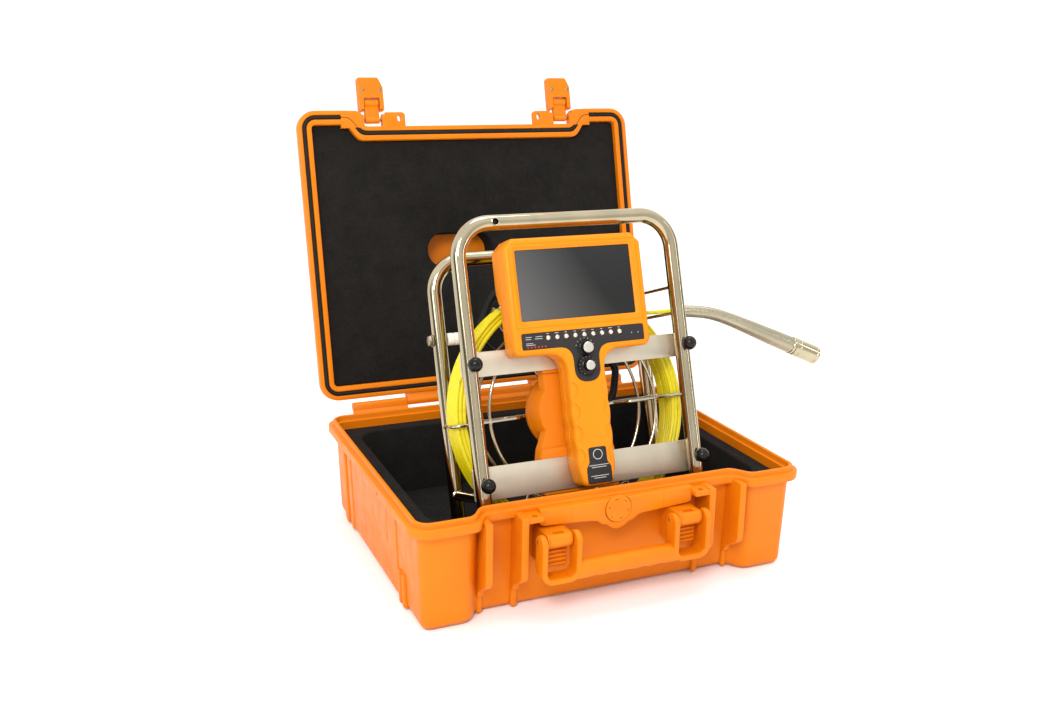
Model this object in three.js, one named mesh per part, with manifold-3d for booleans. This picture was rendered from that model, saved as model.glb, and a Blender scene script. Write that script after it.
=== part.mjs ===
// Push-rod inspection camera kit: a moulded carry case with its lid open, a stainless tube rack that
// leans back in it, a wire reel of push rod, and a handset with a screen. Millimetres, +Z up, +Y to
// the back, origin on the table under the middle of the case.
import * as THREE from 'three';
import { mergeVertices } from 'three/addons/utils/BufferGeometryUtils.js';
import Module from 'manifold-3d';

const wasm = await Module();
wasm.setup();

// ---- Driving dimensions ----
const GAP = 0.4;                 // clearance between neighbouring pieces
const RIM_W = 517;               // case rim, left to right
const RIM_D = 410;               // case rim, front to back
const RIM_CORNER = 26;
const RECESS_DEPTH = 23;         // the rim's middle front edge stands back by this much
const RECESS_INNER = 156;        // half width of the straight middle
const RECESS_OUTER = 187;        // half width where the corner lugs begin
const BASE_H = 138;
const FLANGE_Z = 121;            // underside of the base's rim flange
const FLANGE_TOP = 132;
const LIP_IN = 11.5;             // raised lip, inset of its two faces
const LIP_OUT = 6;
const WALL = 4;
const WALL_INSET_TOP = 11;
const WALL_INSET_FOOT = 15;
const FLOOR = 5;
const LID_PARTING = 138.6;       // the closed lid's rim plane
const LID_FLANGE_TOP = 152;
const LID_TOP = 186;
const LID_OPEN = 104.14;         // degrees from closed to the hinge stop
const HINGE_Y = 216.2;
const HINGE_Z = 142.1;
const KNUCKLE_R = 6;
const PIN_R = 2;
const FIN_X = [124, 168];        // the four front fins, mirrored left and right
const FIN_T = 8.5;
const LATCH_X = 148.5;
const HANDLE_X = 86;             // carry handle brackets
const HANDLE_Z = 99;
const HANDLE_Y = -207;

const APRON_T = 24;              // front panel that carries the purge valve
const VALVE_Y = -180;
const VALVE_Z = 117;
const VALVE_R = 16.5;
const FOAM_TOP = 120;
const FOAM_FLOOR = 22;           // the reel rack's rear feet stand on this
const FOAM_STEP = 55.6;          // and its front feet on this ledge
const FOAM_BORDER = 22;
const LATCH_W = 36;

const RACK_ORIGIN = new THREE.Vector3(-1.5, -126.3, BASE_H);
const RACK_LEAN = 18.3;          // degrees back from upright
const TUBE_R = 9.5;
const HOOP_HALF = 145;           // leg centre line from the middle
const HOOP_TOP = 315.5;
const REAR_TOP = 286;
const HOOP_BEND = 42;
const LEG_FOOT = -83;
const HOOP_GAP = 104;            // front hoop plane to rear hoop plane
const CROSS_R = 6;
const CROSS_S = -13;
const PLATE_HALF = 153;
const PLATE_FRONT = 9.9;         // plates stand just behind the front tubes
const PLATE_T = 2.5;
const UPPER_PLATE = [132, 162];
const LOWER_PLATE = [-16, 24];
const REEL_S = 79;               // reel axis height along the rack
const WIND_OUT = 157.5;
const WIND_IN = 141;
const WIND_FRONT = 38;
const WIND_BACK = 74;
const WIRE_R = 2.25;
const FLANGE_R = 160.2;
const RING_R = 115;
const FLANGE_FRONT = 33;
const FLANGE_BACK = 79;
const SPOKES = 6;
const SPOKE_TURN = 1.3;          // degrees, from level
const FINGER = 15;               // length of the bent spoke ends that hold the rod in
const HUB_R = 48;
const ROD_R = 2.6;
const HEAD_R = 12.7;
const HEAD_LENGTH = 43;

const HAND_U = -3.5;             // handset centre line on the rack
const HAND_FACE = 24;            // its front face, forward of the tubes
const HAND_BACK = -9.4;
const HAND_W = 184;
const HAND_BOTTOM = 150;
const HAND_TOP = 292;
const HAND_CHAMFER = 12;         // its two top corners
const GRIP_HALF = 26;
const GRIP_END = -14;
const SCREEN = { u: -4.7, s: 234.5, w: 154, h: 86 };
const PANEL = { u: -3, low: 157.5, high: 177, w: 164, stem: 17, tip: 113 };
const BUTTONS = 9;
const BUTTON_STEP = 12;
const BUTTON_S = 170;
const BALL_R = 9;

// ---- Materials ----
const finish = (color, roughness, metalness = 0) =>
  new THREE.MeshStandardMaterial({ color, roughness, metalness });
const ORANGE = 0xf59a1e;
const orange = () => finish(ORANGE, 0.42);
const foam = () => finish(0x1c1a17, 0.95);
const rubber = () => finish(0x151515, 0.7);
const steel = () => finish(0xb9b4a8, 0.22, 1);
const aluminium = () => finish(0xcfcabc, 0.38, 1);
const black = () => finish(0x151413, 0.35);
const yellow = () => finish(0xe8d20f, 0.4);

// ---- Solids ----
function solidOf(geometry) {
  const bare = geometry.clone();
  bare.deleteAttribute('normal');
  bare.deleteAttribute('uv');
  const merged = mergeVertices(bare, 1e-4);
  return new wasm.Manifold(new wasm.Mesh({
    numProp: 3,
    vertProperties: new Float32Array(merged.attributes.position.array),
    triVerts: new Uint32Array(merged.index.array),
  }));
}

function geometryOf(solid) {
  const mesh = solid.getMesh();
  const geometry = new THREE.BufferGeometry();
  geometry.setAttribute('position', new THREE.BufferAttribute(mesh.vertProperties, 3));
  geometry.setIndex(new THREE.BufferAttribute(mesh.triVerts, 1));
  geometry.computeVertexNormals();
  return geometry;
}

function joined(...geometries) {
  return geometries.slice(1).reduce((sum, g) => sum.add(solidOf(g)), solidOf(geometries[0]));
}

function cut(solid, ...geometries) {
  return geometries.reduce((left, g) => left.subtract(solidOf(g)), solid);
}

function boxAt(x0, x1, y0, y1, z0, z1) {
  const box = new THREE.BoxGeometry(x1 - x0, y1 - y0, z1 - z0);
  return box.translate((x0 + x1) / 2, (y0 + y1) / 2, (z0 + z1) / 2);
}

// A round bar between two points.
function rodBetween(a, b, radius, sides = 12) {
  const from = new THREE.Vector3(...a);
  const to = new THREE.Vector3(...b);
  const along = to.clone().sub(from);
  const bar = new THREE.CylinderGeometry(radius, radius, along.length(), sides);
  const turn = new THREE.Quaternion().setFromUnitVectors(new THREE.Vector3(0, 1, 0), along.normalize());
  bar.applyQuaternion(turn);
  const middle = from.add(to).multiplyScalar(0.5);
  return bar.translate(middle.x, middle.y, middle.z);
}

// A route that an extrusion follows point by point, so straight runs need no extra steps.
class Route extends THREE.Curve {
  constructor(points) {
    super();
    this.points = points;
  }

  getPoint(t) {
    const last = this.points.length - 1;
    const i = Math.min(Math.floor(t * last + 1e-9), last - 1);
    return this.points[i].clone().lerp(this.points[i + 1], t * last - i);
  }

  getPointAt(u) {
    return this.getPoint(u);
  }

  getTangentAt(u) {
    const last = this.points.length - 1;
    const i = Math.round(u * last);
    const before = this.points[Math.max(i - 1, 0)];
    const after = this.points[Math.min(i + 1, last)];
    const into = this.points[i].clone().sub(before).normalize();
    const out = after.clone().sub(this.points[i]).normalize();
    return into.add(out).normalize();
  }
}

function polygon(radius, sides) {
  const points = [];
  for (let i = 0; i < sides; i += 1) {
    const a = (2 * Math.PI * (i + 0.5)) / sides;
    points.push(new THREE.Vector2(radius * Math.cos(a), radius * Math.sin(a)));
  }
  return new THREE.Shape(points);
}

function tubeAlong(points, radius, sides = 12) {
  return new THREE.ExtrudeGeometry(polygon(radius, sides), {
    steps: points.length - 1, bevelEnabled: false, extrudePath: new Route(points),
  });
}

// Straight runs between corners, with each corner rounded to a bend radius.
function bentPath(corners, bend, steps = 5) {
  const at = corners.map((c) => new THREE.Vector3(...c));
  const path = [at[0]];
  for (let i = 1; i < at.length - 1; i += 1) {
    const back = at[i - 1].clone().sub(at[i]).normalize();
    const ahead = at[i + 1].clone().sub(at[i]).normalize();
    const half = back.angleTo(ahead) / 2;
    const reach = bend / Math.tan(half);
    const centre = back.clone().add(ahead).normalize().multiplyScalar(bend / Math.sin(half)).add(at[i]);
    const start = at[i].clone().addScaledVector(back, reach).sub(centre);
    const end = at[i].clone().addScaledVector(ahead, reach).sub(centre);
    const axis = start.clone().cross(end).normalize();
    for (let k = 0; k <= steps; k += 1) {
      const spoke = start.clone().applyAxisAngle(axis, (start.angleTo(end) * k) / steps);
      path.push(spoke.add(centre));
    }
  }
  path.push(at[at.length - 1]);
  return path;
}

// A closed [radius, y] profile turned about the Y axis.
function latheAlongY(profile, segments) {
  return new THREE.LatheGeometry(profile.map(([r, y]) => new THREE.Vector2(r, y)), segments);
}

// ---- The case's plan outline ----
// Inset moves every edge inwards; the front middle stands back between the two corner lugs.
function caseOutline(inset) {
  const w = RIM_W / 2 - inset;
  const d = RIM_D / 2 - inset;
  const r = Math.max(RIM_CORNER - inset, 6);
  const slide = 0.41 * inset;
  const inner = RECESS_INNER + slide;
  const outer = RECESS_OUTER + slide;
  const back = -d + RECESS_DEPTH;
  const mid = (inner + outer) / 2;
  const shape = new THREE.Shape();
  shape.moveTo(w, -d + r);
  shape.lineTo(w, d - r);
  shape.absarc(w - r, d - r, r, 0, Math.PI / 2, false);
  shape.lineTo(-w + r, d);
  shape.absarc(-w + r, d - r, r, Math.PI / 2, Math.PI, false);
  shape.lineTo(-w, -d + r);
  shape.absarc(-w + r, -d + r, r, Math.PI, 1.5 * Math.PI, false);
  shape.lineTo(-outer, -d);
  shape.bezierCurveTo(-mid, -d, -mid, back, -inner, back);
  shape.lineTo(inner, back);
  shape.bezierCurveTo(mid, back, mid, -d, outer, -d);
  shape.lineTo(w - r, -d);
  shape.absarc(w - r, -d + r, r, 1.5 * Math.PI, 2 * Math.PI, false);
  return shape;
}

function slab(shape, z0, z1, curveSegments = 4) {
  const block = new THREE.ExtrudeGeometry(shape, { depth: z1 - z0, bevelEnabled: false, curveSegments });
  return block.translate(0, 0, z0);
}

// A slab through levels [z, draw]: at each level the outline is drawn in by that much.
function moulded(shape, levels, curveSegments = 4) {
  const rises = levels.length - 1;
  const block = new THREE.ExtrudeGeometry(shape, {
    depth: rises, steps: rises, bevelEnabled: false, curveSegments,
  });
  const at = block.attributes.position;
  for (let i = 0; i < at.count; i += 1) {
    const [z, draw] = levels[Math.round(at.getZ(i))];
    const x = at.getX(i) * (1 - (2 * draw) / RIM_W);
    const y = at.getY(i) * (1 - (2 * draw) / RIM_D);
    at.setXYZ(i, x, y, z);
  }
  return block;
}

const kit = new THREE.Group();

function add(group, name, shape, material) {
  const geometry = shape.isBufferGeometry ? shape : geometryOf(shape);
  const mesh = new THREE.Mesh(geometry, material);
  mesh.name = name;
  group.add(mesh);
  return mesh;
}

// ---- Case base ----
const wallDraft = WALL_INSET_FOOT - WALL_INSET_TOP;

function caseBase() {
  const outside = moulded(caseOutline(WALL_INSET_TOP), [
    [0, wallDraft + 9], [3.5, wallDraft + 3], [12, wallDraft], [FLANGE_TOP, 0],
  ]);
  const inside = moulded(caseOutline(WALL_INSET_TOP + WALL), [[FLOOR, wallDraft + 1], [BASE_H, 0]]);
  const flange = moulded(caseOutline(0), [[FLANGE_Z, 1.5], [FLANGE_Z + 2, 0], [FLANGE_TOP, 0]]);
  const lip = slab(caseOutline(LIP_OUT), FLANGE_TOP - 1, BASE_H);
  const mouth = slab(caseOutline(LIP_IN), FLANGE_TOP - 2, BASE_H + 1);
  let base = joined(outside, flange, lip);
  base = cut(base, inside, mouth);

  const front = -RIM_D / 2;
  const wallY = front + RECESS_DEPTH + WALL_INSET_TOP;
  const fin = new THREE.Shape([
    [wallY + 3, 2], [wallY - 6, 2], [wallY - 6, 30], [front + 1, 48], [front + 1, FLANGE_TOP - 4],
    [front + 4, FLANGE_TOP - 1], [wallY + 3, FLANGE_TOP - 1],
  ].map(([y, z]) => new THREE.Vector2(y, z)));
  const extras = [];
  for (const side of [-1, 1]) {
    for (const x of FIN_X) {
      const plate = new THREE.ExtrudeGeometry(fin, { depth: FIN_T, bevelEnabled: false });
      plate.rotateX(Math.PI / 2).rotateZ(Math.PI / 2).translate(side * x - FIN_T / 2, 0, 0);
      extras.push(plate);
    }
    const tabIn = side * (FIN_X[0] - FIN_T / 2 + 1);
    const tabOut = side * (FIN_X[0] - 24);
    const padlock = boxAt(Math.min(tabIn, tabOut), Math.max(tabIn, tabOut), front + 1, wallY + 1, 119, 125);
    extras.push(padlock);
  }
  const apron = new THREE.Shape();
  apron.moveTo(-101, FLANGE_TOP - 2);
  apron.lineTo(-101, 110);
  apron.lineTo(-34, 106);
  apron.quadraticCurveTo(-25, 105, -20, 98);
  apron.quadraticCurveTo(0, 80, 20, 98);
  apron.quadraticCurveTo(25, 105, 34, 106);
  apron.lineTo(101, 110);
  apron.lineTo(101, FLANGE_TOP - 2);
  const panel = new THREE.ExtrudeGeometry(apron, { depth: APRON_T, bevelEnabled: false, curveSegments: 4 });
  extras.push(panel.rotateX(Math.PI / 2).translate(0, wallY + 3, 0));
  for (const side of [-1, 1]) {
    const x = side * HANDLE_X;
    extras.push(boxAt(x - 16, x + 16, HANDLE_Y + 2, wallY + 5, 56, HANDLE_Z - 9));
    extras.push(rodBetween([x - 16, HANDLE_Y, HANDLE_Z], [x + 16, HANDLE_Y, HANDLE_Z], 8.5, 16));
    extras.push(boxAt(x - 16, x + 16, HANDLE_Y, wallY + 5, HANDLE_Z - 12, HANDLE_Z + 8));
  }
  for (const [x0, x1] of [[-215, -135], [-60, 60], [135, 215]]) {
    extras.push(rodBetween([x0, HINGE_Y, HINGE_Z], [x1, HINGE_Y, HINGE_Z], KNUCKLE_R, 14));
    const web = new THREE.Shape([
      [RIM_D / 2 - 1, FLANGE_Z + 4], [HINGE_Y - 2, HINGE_Z - 9], [HINGE_Y + 5.5, HINGE_Z - 2],
      [HINGE_Y - 5.5, HINGE_Z - 1.5], [RIM_D / 2 - 1, FLANGE_TOP - 1],
    ].map(([y, z]) => new THREE.Vector2(y, z)));
    const strap = new THREE.ExtrudeGeometry(web, { depth: x1 - x0, bevelEnabled: false });
    extras.push(strap.rotateX(Math.PI / 2).rotateZ(Math.PI / 2).translate(x0, 0, 0));
  }
  for (const side of [-1, 1]) {
    const wallX = side * (RIM_W / 2 - WALL_INSET_FOOT);
    for (const y of [-127, -112, 112, 137]) {
      extras.push(boxAt(wallX - 5.5, wallX + 5.5, y - 4, y + 4, 8, FLANGE_Z + 3));
    }
  }
  for (const x of [-150, -50, 50, 150]) {
    extras.push(boxAt(x - 4, x + 4, RIM_D / 2 - 26, RIM_D / 2 - 9.5, 8, FLANGE_Z + 3));
  }
  const hollow = solidOf(inside).add(solidOf(mouth));
  for (const piece of extras) {
    base = base.add(solidOf(piece).subtract(hollow));
  }
  const bores = [
    rodBetween([-216, HINGE_Y, HINGE_Z], [216, HINGE_Y, HINGE_Z], PIN_R + GAP, 12),
    rodBetween([0, VALVE_Y, VALVE_Z], [0, VALVE_Y - 30, VALVE_Z], VALVE_R + GAP, 20),
  ];
  for (const side of [-1, 1]) {
    const x = side * HANDLE_X;
    bores.push(rodBetween([x - 17, HANDLE_Y, HANDLE_Z], [x + 17, HANDLE_Y, HANDLE_Z], PIN_R + GAP, 12));
    bores.push(rodBetween([side * 110, -RIM_D / 2 + 9, 118], [side * 110, -RIM_D / 2 + 9, 126], 3, 10));
  }
  return cut(base, ...bores);
}
add(kit, 'case_base', caseBase(), orange());

// ---- Base foam, purge valve, hinge pin, carry handle ----
function roundedPlan(x0, x1, y0, y1, r) {
  const shape = new THREE.Shape();
  shape.moveTo(x1, y0 + r);
  shape.lineTo(x1, y1 - r);
  shape.absarc(x1 - r, y1 - r, r, 0, Math.PI / 2, false);
  shape.lineTo(x0 + r, y1);
  shape.absarc(x0 + r, y1 - r, r, Math.PI / 2, Math.PI, false);
  shape.lineTo(x0, y0 + r);
  shape.absarc(x0 + r, y0 + r, r, Math.PI, 1.5 * Math.PI, false);
  shape.lineTo(x1 - r, y0);
  shape.absarc(x1 - r, y0 + r, r, 1.5 * Math.PI, 2 * Math.PI, false);
  return shape;
}

function baseFoam() {
  const inset = WALL_INSET_TOP + WALL + GAP;
  const block = moulded(caseOutline(inset), [[FLOOR + GAP, wallDraft + 1], [FOAM_TOP, 0.7]]);
  const half = RIM_W / 2 - inset - FOAM_BORDER;
  const back = RIM_D / 2 - inset - FOAM_BORDER;
  const front = -162.6;
  const cavity = slab(roundedPlan(-half, half, front, back, 30), FOAM_FLOOR, FOAM_TOP + 1, 4);
  const ledge = boxAt(-half + 4, half - 4, front + 0.2, -139, FOAM_FLOOR - 1, FOAM_STEP);
  return cut(solidOf(block), cavity).add(solidOf(ledge));
}
add(kit, 'base_foam', baseFoam(), foam());

function purgeValve() {
  const face = -RIM_D / 2 + RECESS_DEPTH + WALL_INSET_TOP + 3 - APRON_T;
  const knob = rodBetween([0, VALVE_Y - GAP, VALVE_Z], [0, face - 2.5, VALVE_Z], VALVE_R, 20);
  const slots = [];
  for (let i = 0; i < 6; i += 1) {
    const a = (Math.PI * i) / 3;
    const slot = boxAt(11, 13, face - 4, face, -2.5, 2.5).rotateY(a);
    slots.push(slot.translate(0, 0, VALVE_Z));
  }
  return cut(solidOf(knob), ...slots);
}
add(kit, 'purge_valve', purgeValve(), orange());

const hingePin = rodBetween([-215.5, HINGE_Y, HINGE_Z], [215.5, HINGE_Y, HINGE_Z], PIN_R, 10);
add(kit, 'hinge_pin', hingePin, steel());

const HANDLE_ARM = 21.5;         // handle arms stand this far either side of a bracket's middle
const HANDLE_DROP = 50;
const HANDLE_FRONT = -219;
function carryHandle() {
  const arms = [];
  for (const side of [-1, 1]) {
    for (const arm of [-1, 1]) {
      const x = side * HANDLE_X + arm * HANDLE_ARM;
      const reach = [
        [HANDLE_Y + 6, HANDLE_Z - 6], [HANDLE_Y + 6, HANDLE_Z + 5], [HANDLE_Y, HANDLE_Z + 9],
        [HANDLE_Y - 9, HANDLE_Z + 8], [HANDLE_FRONT - 4, HANDLE_Z],
        [HANDLE_FRONT - 5, HANDLE_Z - HANDLE_DROP], [HANDLE_FRONT + 5, HANDLE_Z - HANDLE_DROP],
        [HANDLE_FRONT + 4, HANDLE_Z - 12], [HANDLE_Y, HANDLE_Z - 9],
      ];
      const side2d = new THREE.Shape(reach.map(([y, z]) => new THREE.Vector2(y, z)));
      const plate = new THREE.ExtrudeGeometry(side2d, { depth: 7, bevelEnabled: false });
      plate.rotateX(Math.PI / 2).rotateZ(Math.PI / 2).translate(x - 3.5, 0, 0);
      arms.push(plate);
    }
    const half = HANDLE_ARM + 3.5;
    const middle = side * HANDLE_X;
    const z = HANDLE_Z - HANDLE_DROP;
    arms.push(boxAt(middle - half, middle + half, HANDLE_FRONT - 5, HANDLE_FRONT + 5, z, z + 8));
  }
  const grip = new THREE.CylinderGeometry(11, 11, 2 * (HANDLE_X - HANDLE_ARM) + 4, 14);
  grip.rotateZ(Math.PI / 2).scale(1, 0.8, 1).translate(0, HANDLE_FRONT - 1, HANDLE_Z - HANDLE_DROP + 10.5);
  const bores = [-1, 1].map((side) => {
    const x = side * HANDLE_X;
    return rodBetween([x - 30, HANDLE_Y, HANDLE_Z], [x + 30, HANDLE_Y, HANDLE_Z], PIN_R + GAP, 12);
  });
  return cut(joined(...arms, grip), ...bores);
}
add(kit, 'carry_handle', carryHandle(), orange());
for (const [side, tag] of [[-1, 'l'], [1, 'r']]) {
  const x = side * HANDLE_X;
  const pin = rodBetween([x - 24.5, HANDLE_Y, HANDLE_Z], [x + 24.5, HANDLE_Y, HANDLE_Z], PIN_R, 10);
  add(kit, `handle_pin_${tag}`, pin, steel());
}

// ---- Lid: drawn closed, then swung back about the hinge to its stop ----
const lidPlaced = new THREE.Group();
lidPlaced.position.set(0, HINGE_Y, HINGE_Z);
lidPlaced.rotation.x = THREE.MathUtils.degToRad(-LID_OPEN);
const lid = new THREE.Group();
lid.position.set(0, -HINGE_Y, -HINGE_Z);
lidPlaced.add(lid);
kit.add(lidPlaced);

const GASKET_OUT = 6.5;
const GASKET_IN = 12.5;
const LID_INNER = 20;
const POCKET = { x: -30, y: 0, half: 51, r: 25 };

function caseLid() {
  const shell = moulded(caseOutline(0), [
    [LID_PARTING, 0], [LID_FLANGE_TOP, 0], [LID_FLANGE_TOP + 1, 8], [LID_TOP - 10, 10], [LID_TOP, 19],
  ]);
  const hollow = slab(caseOutline(LID_INNER), LID_PARTING - 1, LID_TOP - WALL);
  const groove = solidOf(slab(caseOutline(GASKET_OUT - 0.6), LID_PARTING - 1, LID_PARTING + 5));
  const tongue = solidOf(slab(caseOutline(GASKET_IN + 0.6), LID_PARTING - 2, LID_PARTING + 6));
  let body = solidOf(shell);
  const front = -RIM_D / 2;
  const edge = front + RECESS_DEPTH;
  for (const side of [-1, 1]) {
    const x = side * LATCH_X;
    for (const ear of [-1, 1]) {
      const ex = x + ear * 17;
      body = body.add(solidOf(boxAt(ex - 4, ex + 4, edge - 17, edge + 1, LID_PARTING, LID_FLANGE_TOP)));
    }
    const tabX = side * 114;
    const tab = boxAt(tabX - 14, tabX + 14, front + 2, edge + 1, LID_PARTING, LID_PARTING + 6);
    body = body.add(solidOf(tab));
    const holeX = side * 110;
    const hole = rodBetween([holeX, edge - 12, LID_PARTING - 1], [holeX, edge - 12, 160], 3.2, 10);
    body = cut(body, hole);
    const bore = rodBetween([x - 22, edge - 10, 147], [x + 22, edge - 10, 147], PIN_R + GAP, 10);
    body = cut(body, bore);
  }
  for (const [x0, x1] of [[-134.4, -60.6], [60.6, 134.4]]) {
    body = body.add(solidOf(rodBetween([x0, HINGE_Y, HINGE_Z], [x1, HINGE_Y, HINGE_Z], KNUCKLE_R, 14)));
    const strap = new THREE.Shape([
      [RIM_D / 2 - 1, 143], [HINGE_Y - 5, HINGE_Z - 1], [HINGE_Y + 5, HINGE_Z + 3], [RIM_D / 2 - 1, 151],
    ].map(([y, z]) => new THREE.Vector2(y, z)));
    const web = new THREE.ExtrudeGeometry(strap, { depth: x1 - x0, bevelEnabled: false });
    body = body.add(solidOf(web.rotateX(Math.PI / 2).rotateZ(Math.PI / 2).translate(x0, 0, 0)));
  }
  const pinBore = rodBetween([-216, HINGE_Y, HINGE_Z], [216, HINGE_Y, HINGE_Z], PIN_R + GAP, 12);
  return cut(body, pinBore, hollow).subtract(groove.subtract(tongue));
}
add(lid, 'case_lid', caseLid(), orange());

const gasketRing = solidOf(slab(caseOutline(GASKET_OUT), LID_PARTING + 0.6, LID_PARTING + 4.6))
  .subtract(solidOf(slab(caseOutline(GASKET_IN), LID_PARTING, LID_PARTING + 6)));
add(lid, 'lid_gasket', gasketRing, rubber());

function lidFoam() {
  const pad = slab(caseOutline(LID_INNER + GAP), LID_PARTING + 7, LID_TOP - WALL - GAP);
  const { x, y, half, r } = POCKET;
  const pill = slab(roundedPlan(x - half, x + half, y - r, y + r, r), LID_PARTING, LID_TOP, 6);
  return cut(solidOf(pad), pill);
}
add(lid, 'lid_foam', lidFoam(), foam());

// ---- Lid latches: a link hooks each one to the lid and a box lever folds about the link ----
const LINK_Y = -RIM_D / 2 + RECESS_DEPTH - 10;
const LINK_Z = 147;
const LEVER_Y = LINK_Y - 24;
for (const [side, tag] of [[-1, 'l'], [1, 'r']]) {
  const x = side * LATCH_X;
  const linkBody = joined(
    boxAt(x - 11, x + 11, LEVER_Y - 3, LINK_Y + 3, LINK_Z - 4, LINK_Z + 4),
    rodBetween([x - 11, LINK_Y, LINK_Z], [x + 11, LINK_Y, LINK_Z], 5, 12),
    rodBetween([x - 11, LEVER_Y, LINK_Z], [x + 11, LEVER_Y, LINK_Z], 5, 12),
  );
  const link = cut(
    linkBody,
    rodBetween([x - 12, LINK_Y, LINK_Z], [x + 12, LINK_Y, LINK_Z], PIN_R + GAP, 10),
    rodBetween([x - 12, LEVER_Y, LINK_Z], [x + 12, LEVER_Y, LINK_Z], PIN_R + GAP, 10),
  );
  add(lid, `latch_link_${tag}`, link, orange());
  const side2d = new THREE.Shape([
    [LINK_Y - 12.5, 140.5], [LINK_Y - 52, 139.5], [LINK_Y - 60, 143],
    [LINK_Y - 60, 149], [LINK_Y - 50, 155], [LINK_Y - 12.5, 155],
  ].map(([y, z]) => new THREE.Vector2(y, z)));
  const leverBlock = new THREE.ExtrudeGeometry(side2d, { depth: LATCH_W, bevelEnabled: false });
  leverBlock.rotateX(Math.PI / 2).rotateZ(Math.PI / 2).translate(x - LATCH_W / 2, 0, 0);
  const lever = cut(
    solidOf(leverBlock),
    boxAt(x - 12, x + 12, LEVER_Y - 8, LINK_Y, 138, 156),
    rodBetween([x - 20, LEVER_Y, LINK_Z], [x + 20, LEVER_Y, LINK_Z], PIN_R + GAP, 10),
  );
  add(lid, `latch_lever_${tag}`, lever, orange());
  const linkPin = rodBetween([x - 20.5, LINK_Y, LINK_Z], [x + 20.5, LINK_Y, LINK_Z], PIN_R, 10);
  add(lid, `latch_link_pin_${tag}`, linkPin, steel());
  const leverPin = rodBetween([x - 17.5, LEVER_Y, LINK_Z], [x + 17.5, LEVER_Y, LINK_Z], PIN_R, 10);
  add(lid, `latch_lever_pin_${tag}`, leverPin, steel());
}

// ---- Rack: drawn upright with the front tubes at y = 0, then leaned back ----
const rack = new THREE.Group();
rack.position.copy(RACK_ORIGIN);
rack.rotation.x = THREE.MathUtils.degToRad(-RACK_LEAN);
kit.add(rack);

const KNOBS = [
  ['ball_knob_upper_l', -HOOP_HALF, 147], ['ball_knob_lower_l', -HOOP_HALF, 4],
  ['ball_knob_upper_r', HOOP_HALF, 147], ['ball_knob_lower_r', HOOP_HALF, 4],
];
const STUD_R = 3;
const BRAKE = { s: 185, r: 3 };

function hoop(y, top) {
  const corners = [
    [-HOOP_HALF, y, LEG_FOOT], [-HOOP_HALF, y, top], [HOOP_HALF, y, top], [HOOP_HALF, y, LEG_FOOT],
  ];
  return solidOf(tubeAlong(bentPath(corners, HOOP_BEND, 5), TUBE_R, 12));
}
const studBores = KNOBS.map(([, x, z]) => rodBetween([x, -12, z], [x, 16, z], STUD_R + GAP, 10));
const pegHole = rodBetween([-96, -11, HOOP_TOP], [-96, 0, HOOP_TOP], 4, 12);
add(rack, 'front_hoop', cut(hoop(0, HOOP_TOP), ...studBores, pegHole), steel());
const brakeBore = rodBetween([-160, HOOP_GAP, BRAKE.s], [-120, HOOP_GAP, BRAKE.s], BRAKE.r + GAP, 10);
add(rack, 'rear_hoop', cut(hoop(HOOP_GAP, REAR_TOP), brakeBore), steel());

for (const [side, tag] of [[-1, 'l'], [1, 'r']]) {
  const x = side * HOOP_HALF;
  const ends = [PLATE_FRONT + PLATE_T + GAP, HOOP_GAP - TUBE_R - GAP];
  const tube = rodBetween([x, ends[0], CROSS_S], [x, ends[1], CROSS_S], CROSS_R, 12);
  add(rack, `cross_tube_${tag}`, tube, steel());
}

// The rod runs out between the two wires of this loop, which joins the right legs.
const LOOP_LOW = 188;
const LOOP_HIGH = 222;
const loopFront = TUBE_R + GAP;
const loopBack = HOOP_GAP - TUBE_R - GAP - 3;
const guide = bentPath([
  [HOOP_HALF, loopFront, LOOP_LOW], [HOOP_HALF, loopBack, LOOP_LOW],
  [HOOP_HALF, loopBack, LOOP_HIGH], [HOOP_HALF, loopFront, LOOP_HIGH],
], 8, 3);
add(rack, 'rod_guide_loop', tubeAlong(guide, 2.2, 8), steel());

for (const [name, [low, high]] of [['upper_plate', UPPER_PLATE], ['lower_plate', LOWER_PLATE]]) {
  const plate = boxAt(-PLATE_HALF, PLATE_HALF, PLATE_FRONT, PLATE_FRONT + PLATE_T, low, high);
  add(rack, name, cut(solidOf(plate), ...studBores), aluminium());
}

for (const [name, x, z] of KNOBS) {
  const ball = new THREE.SphereGeometry(BALL_R, 10, 6).translate(x, -TUBE_R - 1 - BALL_R, z);
  const stud = rodBetween([x, -TUBE_R - 4, z], [x, PLATE_FRONT + PLATE_T + 3, z], STUD_R, 8);
  add(rack, name, joined(ball, stud), black());
}

// Reel brake: a bolt through the rear left leg carries a nylon bush.
const BUSH_X = [-HOOP_HALF + TUBE_R + GAP, -HOOP_HALF + TUBE_R + 19];
const HEAD_X = [-HOOP_HALF - TUBE_R - 6, -HOOP_HALF - TUBE_R - GAP];
const boltHead = rodBetween([HEAD_X[0], HOOP_GAP, BRAKE.s], [HEAD_X[1], HOOP_GAP, BRAKE.s], 7, 6);
const boltShank = rodBetween([HEAD_X[0] + 2, HOOP_GAP, BRAKE.s], [-113, HOOP_GAP, BRAKE.s], BRAKE.r, 8);
add(rack, 'brake_bolt', joined(boltHead, boltShank), steel());
const bush = rodBetween([BUSH_X[0], HOOP_GAP, BRAKE.s], [BUSH_X[1], HOOP_GAP, BRAKE.s], 8, 14);
const bushBore = rodBetween([-140, HOOP_GAP, BRAKE.s], [-112, HOOP_GAP, BRAKE.s], BRAKE.r + GAP, 8);
add(rack, 'brake_bush', cut(solidOf(bush), bushBore), finish(0xe9e6dc, 0.5));

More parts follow.
